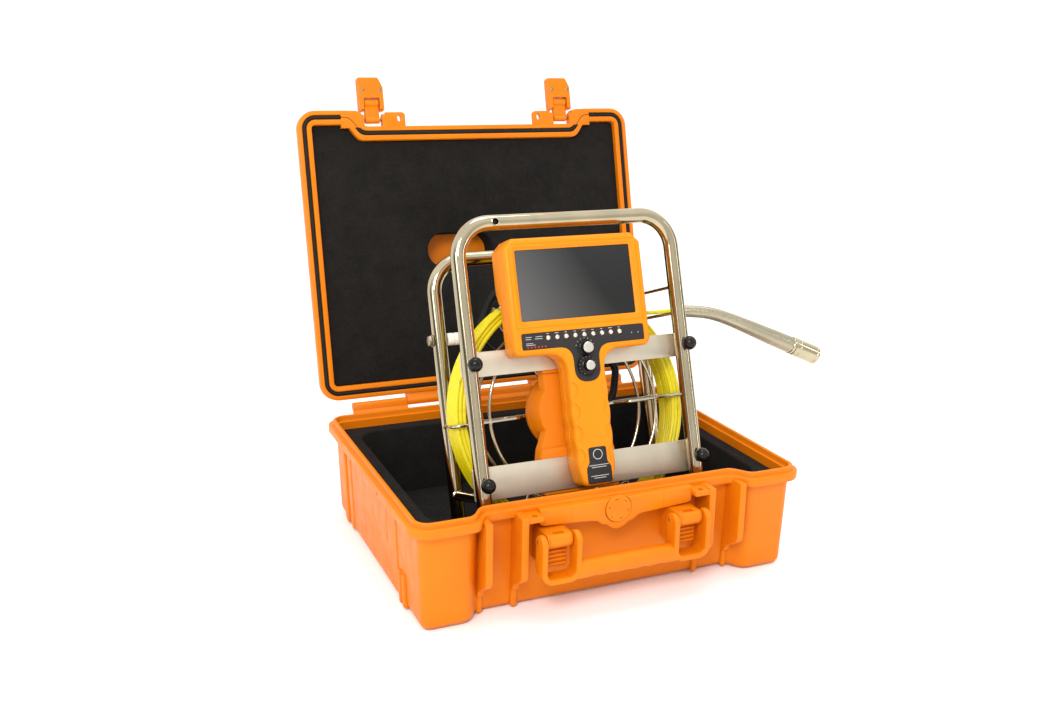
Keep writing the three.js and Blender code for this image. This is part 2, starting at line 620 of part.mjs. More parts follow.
// ---- Reel: hub housing and axle stay with the rack, hub, wire flanges and rod turn ----
const HOUSING = { u: -10.5, boss: 49.2, low: -20, ledge: 38, shoulder: 130, high: 142 };
const HOUSING_Y = { block: 12.8, face: 17, arm: 30, back: 53 };
const HOUSING_EDGE = [            // half width of the two arms at heights along the rack
  [-20, 55], [24, 54], [38, 51], [48, 46], [62, 40], [96, 36], [116, 38], [129, 37.5], [142, 40],
];
const AXLE_R = 6;
function armShape(low, high, inset) {
  const levels = HOUSING_EDGE.filter(([z]) => z >= low && z <= high);
  const right = levels.map(([z, half], i) => {
    const end = (i === 0 ? inset : 0) - (i === levels.length - 1 ? inset : 0);
    return new THREE.Vector2(half - inset, z + end);
  });
  const left = right.map((p) => new THREE.Vector2(-p.x, p.y)).reverse();
  return new THREE.Shape([...right, ...left]);
}
function hubHousing() {
  const { u, boss, low, ledge, shoulder, high } = HOUSING;
  const { block, face, arm, back } = HOUSING_Y;
  const arms = upright(armShape(low, high, 0), face, arm).translate(u, 0, 0);
  const foot = upright(armShape(low, ledge, 0), block, face + 1).translate(u, 0, 0);
  const top = boxAt(u - 36, u + 36, block, face + 1, shoulder, high);
  const drum = rodBetween([u, face, REEL_S], [u, back, REEL_S], boss, 32);
  const armHollow = upright(armShape(low, high, 4), face + 4, arm + 1).translate(u, 0, 0);
  const hollow = rodBetween([u, face + 4, REEL_S], [u, back + 1, REEL_S], boss - 4, 32);
  const bore = rodBetween([0, 0, REEL_S], [0, back, REEL_S], AXLE_R + GAP, 16);
  return cut(joined(arms, foot, top, drum), hollow, armHollow, bore);
}
add(rack, 'hub_housing', hubHousing(), orange());

function ringAlongY(outer, inner, y0, y1, z, segments = 20) {
  const outside = rodBetween([0, y0, z], [0, y1, z], outer, segments);
  const inside = rodBetween([0, y0 - 1, z], [0, y1 + 1, z], inner, 16);
  return cut(solidOf(outside), inside);
}
add(rack, 'slip_ring', ringAlongY(17, AXLE_R + GAP, 21.5, 53, REEL_S, 16), black());
const axleShaft = rodBetween([0, 14, REEL_S], [0, 92, REEL_S], AXLE_R, 14);
add(rack, 'reel_axle', axleShaft, steel());
add(rack, 'axle_nut', ringAlongY(10.5, AXLE_R + GAP, 83, 91, REEL_S, 6), steel());
add(rack, 'reel_hub', ringAlongY(HUB_R, AXLE_R + GAP, 53.8, 82, REEL_S, 32), orange());

// One wire flange: a ring, and spokes whose outer ends turn over the rod like fingers.
function wireFlange(y, inwards, extras) {
  const parts = [];
  const ring = [];
  const ringSteps = 24;
  for (let i = 0; i <= ringSteps; i += 1) {
    const a = (2 * Math.PI * i) / ringSteps;
    ring.push(new THREE.Vector3(RING_R * Math.cos(a), y, RING_R * Math.sin(a)));
  }
  const halfRing = ringSteps / 2;
  parts.push(tubeAlong(ring.slice(0, halfRing + 2), WIRE_R - 0.2, 6));
  parts.push(tubeAlong(ring.slice(halfRing), WIRE_R - 0.2, 6));
  for (let k = 0; k < SPOKES; k += 1) {
    const a = THREE.MathUtils.degToRad(SPOKE_TURN + (360 * k) / SPOKES);
    const at = (r, depth) => [r * Math.cos(a), depth, r * Math.sin(a)];
    const hubDepth = 63.5 - inwards * 7;
    const line = [
      at(HUB_R - 6, hubDepth), at(66, hubDepth), at(78, y),
      at(FLANGE_R, y), at(FLANGE_R, y + inwards * FINGER),
    ];
    parts.push(tubeAlong(bentPath(line, 7, 2), WIRE_R, 6));
    if (extras) {
      parts.push(rodBetween(at(WIND_IN - 4.5, y), at(WIND_IN - 4.5, FLANGE_BACK - WIRE_R - GAP), 2, 6));
    }
  }
  return parts.reduce((sum, g) => (sum ? sum.add(solidOf(g)) : solidOf(g)), null)
    .subtract(solidOf(rodBetween([0, 30, 0], [0, 90, 0], HUB_R + GAP, 32)));
}
const frontWires = geometryOf(wireFlange(FLANGE_FRONT, 1, true)).translate(0, 0, REEL_S);
add(rack, 'reel_front_flange', frontWires, steel());
const rearWires = geometryOf(wireFlange(FLANGE_BACK, -1, false)).translate(0, 0, REEL_S);
add(rack, 'reel_rear_flange', rearWires, steel());

const WIND_SOFT = 2.6;           // the coil's rounded edges
const winding = latheAlongY([
  [WIND_IN, WIND_FRONT + WIND_SOFT], [WIND_IN + WIND_SOFT, WIND_FRONT],
  [WIND_OUT - WIND_SOFT, WIND_FRONT], [WIND_OUT, WIND_FRONT + WIND_SOFT],
  [WIND_OUT, WIND_BACK - WIND_SOFT], [WIND_OUT - WIND_SOFT, WIND_BACK],
  [WIND_IN + WIND_SOFT, WIND_BACK], [WIND_IN, WIND_BACK - WIND_SOFT],
  [WIND_IN, WIND_FRONT + WIND_SOFT],
], 36);
add(rack, 'rod_winding', winding.translate(0, 0, REEL_S), yellow());

// ---- Rod tail, spring and camera head, held by the guide loop ----
const TAIL_Y = 55;
const tailPoints = [[108, 198.6], [115, 196.2], [130, 193.8], [145, 193.4], [160, 193.6], [176, 193]]
  .map(([x, z]) => new THREE.Vector3(x, TAIL_Y, z));
add(rack, 'rod_tail', tubeAlong(tailPoints, ROD_R, 8), yellow());

const SPRING = [
  [176.4, 193, 8], [189, 191.4, 8.1], [204, 189.6, 8.2], [220, 187, 8.3], [238, 182, 8.5],
  [257, 174.5, 8.9], [277, 165.5, 9.6], [299, 155.2, 10.4], [324, 143.5, 11.2], [352, 130.5, 11.7],
];
function springBody() {
  const points = SPRING.map(([x, z]) => new THREE.Vector3(x, TAIL_Y, z));
  const tube = tubeAlong(points, 1, 12);
  const at = tube.attributes.position;
  for (let i = 0; i < at.count; i += 1) {
    const here = new THREE.Vector3().fromBufferAttribute(at, i);
    let nearest = 0;
    points.forEach((p, k) => {
      if (p.distanceTo(here) < points[nearest].distanceTo(here)) {
        nearest = k;
      }
    });
    const swollen = here.sub(points[nearest]).multiplyScalar(SPRING[nearest][2]).add(points[nearest]);
    at.setXYZ(i, swollen.x, swollen.y, swollen.z);
  }
  const [x, z] = SPRING[0];
  const bore = rodBetween([x - 2, TAIL_Y, z + 0.3], [x + 9, TAIL_Y, z - 0.8], ROD_R + GAP, 8);
  return cut(solidOf(tube), bore);
}
add(rack, 'flex_spring', springBody(), steel());

const springEnd = SPRING[SPRING.length - 1];
const before = SPRING[SPRING.length - 3];
const aim = new THREE.Vector3(springEnd[0] - before[0], 0, springEnd[1] - before[1]).normalize();
const headAt = (distance) => [
  springEnd[0] + aim.x * distance, TAIL_Y, springEnd[1] + aim.z * distance,
];
function cameraHead() {
  const shell = joined(
    rodBetween(headAt(0.4), headAt(3), HEAD_R - 1, 20),
    rodBetween(headAt(2.5), headAt(HEAD_LENGTH), HEAD_R, 20),
  );
  return cut(shell, rodBetween(headAt(HEAD_LENGTH - 5), headAt(HEAD_LENGTH + 1), 10, 20));
}
add(rack, 'camera_head', cameraHead(), steel());
const windowDisc = rodBetween(headAt(HEAD_LENGTH - 4.6), headAt(HEAD_LENGTH - 1), 9.5, 20);
add(rack, 'camera_window', windowDisc, finish(0x20242a, 0.05));

// ---- Handset: two shells, a screen, a control panel with nine buttons, and two dials ----
function handsetOutline(inset) {
  const half = HAND_W / 2 - inset;
  const top = HAND_TOP - inset;
  const under = HAND_BOTTOM + inset;
  const neck = 25 - inset;
  const grip = GRIP_HALF - inset;
  const foot = GRIP_END + inset;
  const shape = new THREE.Shape();
  shape.moveTo(12, foot);
  shape.quadraticCurveTo(22 - inset, foot, 22 - inset, foot + 12);
  shape.lineTo(grip, 80);
  shape.lineTo(neck, 128);
  shape.quadraticCurveTo(neck + 2, under, neck + 24, under);
  shape.lineTo(half - 8, under);
  shape.quadraticCurveTo(half, under, half, under + 8);
  shape.lineTo(half, top - HAND_CHAMFER);
  shape.lineTo(half - HAND_CHAMFER, top);
  shape.lineTo(-half + HAND_CHAMFER, top);
  shape.lineTo(-half, top - HAND_CHAMFER);
  shape.lineTo(-half, under + 8);
  shape.quadraticCurveTo(-half, under, -half + 8, under);
  shape.lineTo(-neck - 24, under);
  shape.quadraticCurveTo(-neck - 2, under, -neck, 128);
  shape.lineTo(-grip, 80);
  shape.lineTo(-22 + inset, foot + 12);
  shape.quadraticCurveTo(-22 + inset, foot, -12, foot);
  return shape;
}

// A flat outline drawn in (x, z), standing from yFront back to yBack.
function upright(shape, yFront, yBack) {
  const depth = yBack - yFront;
  const block = new THREE.ExtrudeGeometry(shape, { depth, bevelEnabled: false, curveSegments: 3 });
  return block.rotateX(Math.PI / 2).translate(0, yBack, 0);
}

const SHELL = 3;
const SHELL_SPLIT = -6;          // the two handset shells meet here
const FACE_Y = -HAND_FACE;
const BACK_Y = -HAND_BACK;
const STEP_Z = 226;              // above this the rear shell is deeper
const STEP_Y = 21;
const KNOB_UP = { x: -3.5, z: 154, r: 7 };
const KNOB_LOW = { x: -4.5, z: 132, r: 11.5 };
const SHAFT_R = 3;
const BUTTON_R = 3;
const buttonX = (i) => PANEL.u + (i - (BUTTONS - 1) / 2) * BUTTON_STEP;

function panelShape(clear) {
  const { u, low, high, w, stem, tip } = PANEL;
  const half = w / 2 + clear;
  const shape = new THREE.Shape();
  shape.moveTo(u - half, high + clear);
  shape.lineTo(u - half, low - clear);
  shape.lineTo(u - stem - 18, low - clear);
  shape.quadraticCurveTo(u - stem - clear, low - clear, u - stem - clear, low - 18);
  shape.lineTo(u - stem - clear, tip + 14);
  shape.quadraticCurveTo(u - stem - clear, tip - clear, u, tip - clear);
  shape.quadraticCurveTo(u + stem + clear, tip - clear, u + stem + clear, tip + 14);
  shape.lineTo(u + stem + clear, low - 18);
  shape.quadraticCurveTo(u + stem + clear, low - clear, u + stem + 18, low - clear);
  shape.lineTo(u + half, low - clear);
  shape.lineTo(u + half, high + clear);
  return shape;
}

function handsetFront() {
  const outside = upright(handsetOutline(0), FACE_Y, SHELL_SPLIT).translate(HAND_U, 0, 0);
  const inside = upright(handsetOutline(SHELL), FACE_Y + 7, SHELL_SPLIT + 1).translate(HAND_U, 0, 0);
  const { u, s, w, h } = SCREEN;
  const halfW = w / 2 + GAP;
  const halfH = h / 2 + GAP;
  const windowCut = boxAt(u - halfW, u + halfW, FACE_Y - 1, FACE_Y + 5, s - halfH, s + halfH);
  const panelCut = upright(panelShape(GAP), FACE_Y - 1, FACE_Y + 1.3);
  const reach = (BUTTONS - 1) / 2 * BUTTON_STEP + 5;
  const slot = boxAt(PANEL.u - reach, PANEL.u + reach, FACE_Y, FACE_Y + 8, BUTTON_S - 5, BUTTON_S + 5);
  const shafts = [KNOB_UP, KNOB_LOW].map(({ x, z }) => (
    rodBetween([x, FACE_Y, z], [x, FACE_Y + 8, z], SHAFT_R + GAP, 8)
  ));
  return cut(solidOf(outside), inside, windowCut, panelCut, slot, ...shafts);
}
add(rack, 'handset_front', handsetFront(), orange());

function chamferedTop(half, low, high) {
  const shape = new THREE.Shape();
  shape.moveTo(-half, low);
  shape.lineTo(half, low);
  shape.lineTo(half, high - HAND_CHAMFER);
  shape.lineTo(half - HAND_CHAMFER, high);
  shape.lineTo(-half + HAND_CHAMFER, high);
  shape.lineTo(-half, high - HAND_CHAMFER);
  return shape;
}

function handsetRear() {
  const place = (g) => g.translate(HAND_U, 0, 0);
  const start = SHELL_SPLIT + GAP;
  const half = HAND_W / 2;
  const deep = chamferedTop(half, STEP_Z, HAND_TOP);
  const deepIn = chamferedTop(half - SHELL, STEP_Z + SHELL, HAND_TOP - SHELL);
  const outside = joined(
    place(upright(handsetOutline(0), start, BACK_Y)), place(upright(deep, BACK_Y - 2, STEP_Y)),
  );
  const inside = place(upright(handsetOutline(SHELL), start - 1, BACK_Y - SHELL));
  const insideDeep = place(upright(deepIn, start, STEP_Y - SHELL));
  const gland = rodBetween([-60, STEP_Y - SHELL - 1, 250], [-60, STEP_Y + 1, 250], 5.4, 10);
  return cut(outside, inside, insideDeep, gland);
}
add(rack, 'handset_rear', handsetRear(), orange());

const screenPane = boxAt(
  SCREEN.u - SCREEN.w / 2, SCREEN.u + SCREEN.w / 2, FACE_Y + 3.2, FACE_Y + 4.6,
  SCREEN.s - SCREEN.h / 2, SCREEN.s + SCREEN.h / 2,
);
add(rack, 'screen_glass', screenPane, finish(0x16171a, 0.12));

function controlPanel() {
  const plate = upright(panelShape(0), FACE_Y + 0.1, FACE_Y + 0.9);
  const holes = [];
  for (let i = 0; i < BUTTONS; i += 1) {
    const x = buttonX(i);
    holes.push(rodBetween([x, FACE_Y - 1, BUTTON_S], [x, FACE_Y + 2, BUTTON_S], BUTTON_R + 0.6, 10));
  }
  for (const { x, z } of [KNOB_UP, KNOB_LOW]) {
    holes.push(rodBetween([x, FACE_Y - 1, z], [x, FACE_Y + 2, z], SHAFT_R + GAP, 8));
  }
  return cut(solidOf(plate), ...holes);
}
add(rack, 'control_panel', controlPanel(), finish(0x3a3a3c, 0.5));

for (let i = 0; i < BUTTONS; i += 1) {
  const x = buttonX(i);
  const cap = rodBetween([x, FACE_Y - 2.6, BUTTON_S], [x, FACE_Y + 9, BUTTON_S], BUTTON_R, 10);
  add(rack, `button_${i + 1}`, cap, steel());
}

function knob({ x, z, r }, skirt, tall) {
  return joined(
    rodBetween([x, FACE_Y - 0.4 - skirt, z], [x, FACE_Y - 0.4, z], r, 16),
    rodBetween([x, FACE_Y - 0.4 - tall, z], [x, FACE_Y - 1, z], 6.2, 16),
    rodBetween([x, FACE_Y - 2, z], [x, FACE_Y + 10, z], SHAFT_R, 8),
  );
}
add(rack, 'knob_upper', knob(KNOB_UP, 2, 10), steel());
add(rack, 'knob_lower', knob(KNOB_LOW, 6, 12), black());

// ---- Signal cable: from the handset's back, behind the reel, into the end of the axle ----
const CABLE_R = 5;
const CABLE_ROUTE = [
  [-60, 21.9, 250], [-60, 32, 250], [-62, 45, 249], [-66, 60, 246], [-71, 74, 240], [-77, 86, 229],
  [-84, 93, 213], [-91, 97, 196], [-90, 98, 180], [-80, 98, 166], [-62, 97, 155], [-40, 96, 149],
  [-15, 96, 147], [12, 96, 146], [40, 96, 147], [64, 96, 147], [83, 96, 141], [94, 96, 126],
  [92, 97, 107], [87, 99, 89], [75, 103, 77],
  [57, 109, 71], [37, 117, 70.5], [18, 124, 74], [5, 122, 79], [0, 113, 79], [0, 103, 79], [0, 92.6, 79],
];
const smooth = new THREE.CatmullRomCurve3(CABLE_ROUTE.map((p) => new THREE.Vector3(...p)));
add(rack, 'signal_cable', tubeAlong(smooth.getSpacedPoints(34), CABLE_R, 8), black());

export default kit;
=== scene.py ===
"""Looks of the push-rod inspection camera kit: a moulded case with its lid open, a stainless tube
rack that leans back in it with a wire reel of push rod, and a handset with a screen."""
import math
import random

import bmesh
import bpy
from mathutils import Matrix, Vector


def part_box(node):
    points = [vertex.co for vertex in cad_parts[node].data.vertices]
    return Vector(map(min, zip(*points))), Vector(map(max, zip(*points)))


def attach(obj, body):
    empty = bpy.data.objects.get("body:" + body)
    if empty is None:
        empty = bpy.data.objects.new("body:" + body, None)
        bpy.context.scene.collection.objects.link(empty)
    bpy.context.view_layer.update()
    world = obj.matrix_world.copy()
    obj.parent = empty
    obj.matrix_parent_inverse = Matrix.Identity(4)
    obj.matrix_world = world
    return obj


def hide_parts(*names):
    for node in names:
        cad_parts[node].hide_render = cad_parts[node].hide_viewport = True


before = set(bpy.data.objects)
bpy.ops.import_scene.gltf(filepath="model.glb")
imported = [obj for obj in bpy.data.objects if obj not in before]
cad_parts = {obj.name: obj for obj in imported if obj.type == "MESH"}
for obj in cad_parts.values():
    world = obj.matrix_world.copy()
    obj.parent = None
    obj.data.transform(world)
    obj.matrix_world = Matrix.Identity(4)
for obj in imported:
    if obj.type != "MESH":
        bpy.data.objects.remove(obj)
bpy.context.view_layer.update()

MM = 0.001

# ---- Driving dimensions, in millimetres, as the frame has them ----
RIM_W, RIM_D, RIM_CORNER = 517, 410, 26
RECESS_DEPTH, RECESS_INNER, RECESS_OUTER = 23, 156, 187
BASE_H = 138
HINGE_Y, HINGE_Z = 216.2, 142.1
LID_OPEN = 104.14
LID_PARTING = 138.6
FRONT = -RIM_D / 2
WALL_Y = FRONT + RECESS_DEPTH + 11
APRON_Y = WALL_Y - 21
VALVE_Z = 117
HANDLE_X, HANDLE_Y, HANDLE_Z = 86, -207, 99
LATCH_X = 148.5
RACK_ORIGIN = (-1.5, -126.3, BASE_H)
RACK_LEAN = 18.3
TUBE_R = 9.5
HOOP_HALF, HOOP_TOP, REAR_TOP, HOOP_GAP = 145, 315.5, 286, 104
LEG_FOOT = -83
REEL_S = 79
WIND_OUT, WIND_IN = 157.5, 141
ROD_R = 2.6
HAND_U, HAND_FACE, HAND_BACK = -3.5, -24, 9.4
PANEL_U = -3
BUTTON_STEP, BUTTON_S = 12, 170

WORLD = Matrix.Identity(4)
RACK = Matrix.Translation(RACK_ORIGIN) @ Matrix.Rotation(math.radians(-RACK_LEAN), 4, "X")
LID = (Matrix.Translation((0, HINGE_Y, HINGE_Z)) @ Matrix.Rotation(math.radians(-LID_OPEN), 4, "X")
       @ Matrix.Translation((0, -HINGE_Y, -HINGE_Z)))


# ---- Camera: the photograph's angle ----
def photo_camera():
    azimuth, elevation, roll = (math.radians(a) for a in (-23.506, 15.493, 0.92))
    back = Vector((math.sin(azimuth) * math.cos(elevation), -math.cos(azimuth) * math.cos(elevation),
                   math.sin(elevation)))
    right = (-back).cross(Vector((0, 0, 1))).normalized()
    up = right.cross(-back)
    turned_right = right * math.cos(roll) + up * math.sin(roll)
    turned_up = up * math.cos(roll) - right * math.sin(roll)
    target = Vector((-34.7, 0, 261.43)) * MM
    data = bpy.data.cameras.new("photo_camera")
    data.sensor_width = 36
    data.lens = 36 * 1112.03 / 1059
    data.clip_end = 50
    camera = bpy.data.objects.new("photo_camera", data)
    turn = Matrix((turned_right, turned_up, back)).transposed().to_4x4()
    camera.matrix_world = Matrix.Translation(target + back * 1.43635) @ turn
    bpy.context.scene.collection.objects.link(camera)
    bpy.context.scene.camera = camera


photo_camera()


# ---- Meshes: plain lists of points and faces in millimetres ----
class Shape:
    def __init__(self, verts=(), faces=()):
        self.verts = [Vector(v) for v in verts]
        self.faces = [list(f) for f in faces]

    def add(self, *others):
        for other in others:
            start = len(self.verts)
            self.verts += [v.copy() for v in other.verts]
            self.faces += [[i + start for i in f] for f in other.faces]
        return self

    def moved(self, matrix):
        return Shape([matrix @ v for v in self.verts], self.faces)


def shell(loops, wrap=False, caps=(True, True)):
    """Joins equal rings of points into a skin, closed by flat caps or by joining last to first."""
    count = len(loops[0])
    verts = [p for loop in loops for p in loop]
    faces = []
    rows = len(loops) if wrap else len(loops) - 1
    for i in range(rows):
        a, b = i * count, ((i + 1) % len(loops)) * count
        faces += [[a + k, a + (k + 1) % count, b + (k + 1) % count, b + k] for k in range(count)]
    if not wrap:
        if caps[0]:
            faces.append(list(range(count))[::-1])
        if caps[1]:
            faces.append([len(verts) - count + k for k in range(count)])
    return Shape(verts, faces)


def on(axis, point, depth):
    """A flat point (p, q) at a depth along the named axis."""
    p, q = point
    return {"x": (depth, p, q), "y": (p, depth, q), "z": (p, q, depth)}[axis]


def fillet(corners, radii, steps=5):
    """A closed polygon with each corner rounded."""
    if not isinstance(radii, (list, tuple)):
        radii = [radii] * len(corners)
    out = []
    for i, corner in enumerate(corners):
        here = Vector(corner)
        back = Vector(corners[i - 1]) - here
        ahead = Vector(corners[(i + 1) % len(corners)]) - here
        half = back.angle(ahead) / 2
        radius = radii[i]
        if radius <= 0 or abs(half - math.pi / 2) < 0.01:
            out.append(tuple(here))
            continue
        reach = min(radius / math.tan(half), 0.49 * min(back.length, ahead.length))
        radius = reach * math.tan(half)
        centre = here + (back.normalized() + ahead.normalized()).normalized() * (radius / math.sin(half))
        start = here + back.normalized() * reach - centre
        end = here + ahead.normalized() * reach - centre
        first = math.atan2(start.y, start.x)
        sweep = (math.atan2(end.y, end.x) - first + math.pi) % (2 * math.pi) - math.pi
        for k in range(steps + 1):
            a = first + sweep * k / steps
            out.append((centre.x + radius * math.cos(a), centre.y + radius * math.sin(a)))
    return out


def drawn_in(outline, distance):
    """The closed outline moved inwards by a distance."""
    count = len(outline)
    area = sum(outline[i - 1][0] * outline[i][1] - outline[i][0] * outline[i - 1][1] for i in range(count))
    side = 1 if area > 0 else -1
    result = []
    for i in range(count):
        here = Vector(outline[i])
        into = here - Vector(outline[i - 1])
        out = Vector(outline[(i + 1) % count]) - here
        if into.length < 1e-6:
            into = out
        if out.length < 1e-6:
            out = into
        normal_in = Vector((-into.y, into.x)).normalized()
        normal_out = Vector((-out.y, out.x)).normalized()
        middle = normal_in + normal_out
        if middle.length < 1e-6:
            middle = normal_in
        middle.normalize()
        scale = 1 / max(middle.dot(normal_in), 0.35)
        result.append(tuple(here + middle * (distance * scale * side)))
    return result


def slab(outline, low, high, edge=1.0, axis="z", steps=3, round_low=True, round_high=True):
    """An outline given thickness, with its rims rounded."""
    loops = []
    turns = [math.pi / 2 * k / steps for k in range(steps + 1)]
    if round_low:
        loops += [(edge * (1 - math.sin(a)), low + edge * (1 - math.cos(a))) for a in turns]
    else:
        loops.append((0, low))
    if round_high:
        loops += [(edge * (1 - math.cos(a)), high - edge * (1 - math.sin(a))) for a in turns]
    else:
        loops.append((0, high))
    return shell([[on(axis, p, depth) for p in drawn_in(outline, inset)] for inset, depth in loops])


def box(x0, x1, y0, y1, z0, z1, edge=1.0, axis="z", corner=None, steps=3):
    """A block with rounded rims, its outline across the named axis."""
    corner = edge if corner is None else corner
    spans = {"x": ((y0, y1), (z0, z1), (x0, x1)), "y": ((x0, x1), (z0, z1), (y0, y1)),
             "z": ((x0, x1), (y0, y1), (z0, z1))}[axis]
    (p0, p1), (q0, q1), (low, high) = spans
    outline = fillet([(p0, q0), (p1, q0), (p1, q1), (p0, q1)], corner, 4)
    return slab(outline, low, high, edge, axis, steps)


def basis(direction):
    """Two directions square to the given one."""
    d = Vector(direction).normalized()
    side = d.cross(Vector((0, 0, 1)) if abs(d.z) < 0.9 else Vector((1, 0, 0))).normalized()
    return side, d.cross(side)


def turned(profile, origin, direction, segments=48, wrap=False):
    """A profile of (radius, distance) turned about a line."""
    side, other = basis(direction)
    d = Vector(direction).normalized()
    base = Vector(origin)
    rings = []
    for radius, distance in profile:
        ring = []
        for k in range(segments):
            a = 2 * math.pi * k / segments
            ring.append(base + d * distance + (side * math.cos(a) + other * math.sin(a)) * radius)
        rings.append(ring)
    return shell(rings, wrap=wrap)


def pin(a, b, radius, edge=0.4, segments=24):
    """A round bar between two points, with its ends chamfered."""
    length = (Vector(b) - Vector(a)).length
    profile = [(radius - edge, 0), (radius, edge), (radius, length - edge), (radius - edge, length)]
    return turned(profile, a, Vector(b) - Vector(a), segments)


def tube(path, radius, sides=24, section=None):
    """A bar swept along a path. The radius may change along it, and the section may be an outline."""
    path = [Vector(p) for p in path]
    tangents = []
    for i in range(len(path)):
        before = path[max(i - 1, 0)]
        after = path[min(i + 1, len(path) - 1)]
        tangents.append((after - before).normalized())
    side, other = basis(tangents[0])
    rings = []
    for i, point in enumerate(path):
        if i:
            turn = tangents[i - 1].rotation_difference(tangents[i])
            side = turn @ side
        other = tangents[i].cross(side).normalized()
        side = other.cross(tangents[i]).normalized()
        here = radius[i] if isinstance(radius, (list, tuple)) else radius
        if section is None:
            flat = [(math.cos(2 * math.pi * k / sides),
                     math.sin(2 * math.pi * k / sides)) for k in range(sides)]
        else:
            flat = section
        rings.append([point + (side * p + other * q) * here for p, q in flat])
    return shell(rings)


def bent(corners, bend, steps=16):
    """Straight runs with each corner rounded to a bend radius, in space."""
    at = [Vector(c) for c in corners]
    path = [at[0]]
    for before, here, after in zip(at, at[1:], at[2:]):
        back, ahead = (before - here).normalized(), (after - here).normalized()
        half = back.angle(ahead) / 2
        reach = bend / math.tan(half)
        centre = here + (back + ahead).normalized() * (bend / math.sin(half))
        start = here + back * reach - centre
        end = here + ahead * reach - centre
        axis = start.cross(end).normalized()
        for k in range(steps + 1):
            path.append(centre + Matrix.Rotation(start.angle(end) * k / steps, 3, axis) @ start)
    return path + [at[-1]]


def spline(points, per_span=8):
    """A smooth curve through the points."""
    at = [Vector(p) for p in points]
    at = [at[0] * 2 - at[1]] + at + [at[-1] * 2 - at[-2]]
    out = []
    for i in range(1, len(at) - 2):
        p0, p1, p2, p3 = at[i - 1:i + 3]
        for k in range(per_span):
            t = k / per_span
            out.append(0.5 * ((2 * p1) + (p2 - p0) * t + (2 * p0 - 5 * p1 + 4 * p2 - p3) * t * t
                              + (3 * p1 - p0 - 3 * p2 + p3) * t * t * t))
    return out + [at[-2]]


def quadratic(a, b, c, steps=6):
    return [tuple(Vector(a) * (1 - t) ** 2 + Vector(b) * 2 * t * (1 - t) + Vector(c) * t * t)
            for t in (k / steps for k in range(1, steps + 1))]


def mirrored(right):
    """An outline's right half, bottom to top, with its mirror image."""
    return right + [(-u, s) for u, s in reversed(right)]


def temporary(shape):
    mesh = bpy.data.meshes.new("temporary")
    mesh.from_pydata(shape.verts, [], shape.faces)
    work = bmesh.new()
    work.from_mesh(mesh)
    bmesh.ops.recalc_face_normals(work, faces=work.faces)
    work.to_mesh(mesh)
    work.free()
    item = bpy.data.objects.new("temporary", mesh)
    bpy.context.scene.collection.objects.link(item)
    return item


def combined(base, others, operation):
    """The base shape cut by, or joined with, each of the others."""
    subject = temporary(base)
    tools = [temporary(other) for other in others]
    for tool in tools:
        step = subject.modifiers.new("step", "BOOLEAN")
        step.operation = operation
        step.solver = "MANIFOLD"
        step.object = tool
    graph = bpy.context.evaluated_depsgraph_get()
    mesh = subject.evaluated_get(graph).to_mesh()
    result = Shape([v.co for v in mesh.vertices], [p.vertices for p in mesh.polygons])
    for item in [subject] + tools:
        data = item.data
        bpy.data.objects.remove(item)
        bpy.data.meshes.remove(data)
    return result


def cut(base, *others):
    return combined(base, others, "DIFFERENCE")


def joined(base, *others):
    return combined(base, others, "UNION")


def piece(name, shape, body, material, place=WORLD, stands_for=(), smooth=32):
    """Makes the Blender object, at its place in the frame, riding on its body."""
    mesh = bpy.data.meshes.new(name)
    mesh.from_pydata([(place @ v) * MM for v in shape.verts], [], shape.faces)
    work = bmesh.new()
    work.from_mesh(mesh)
    bmesh.ops.remove_doubles(work, verts=work.verts, dist=1e-6)
    bmesh.ops.recalc_face_normals(work, faces=work.faces)
    work.to_mesh(mesh)
    work.free()
    mesh.polygons.foreach_set("use_smooth", [True] * len(mesh.polygons))
    mesh.set_sharp_from_angle(angle=math.radians(smooth))
    mesh.materials.append(material)
    item = bpy.data.objects.new(name, mesh)
    bpy.context.scene.collection.objects.link(item)
    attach(item, body)
    if stands_for:
        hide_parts(*stands_for)
    return item


# ---- Materials: every one works in the frame's own metres ----
def linear(colour):
    """A colour of 0 to 255 as the eye sees it, turned into light."""
    parts = [c / 255 for c in colour]
    return [c / 12.92 if c <= 0.04045 else ((c + 0.055) / 1.055) ** 2.4 for c in parts] + [1]


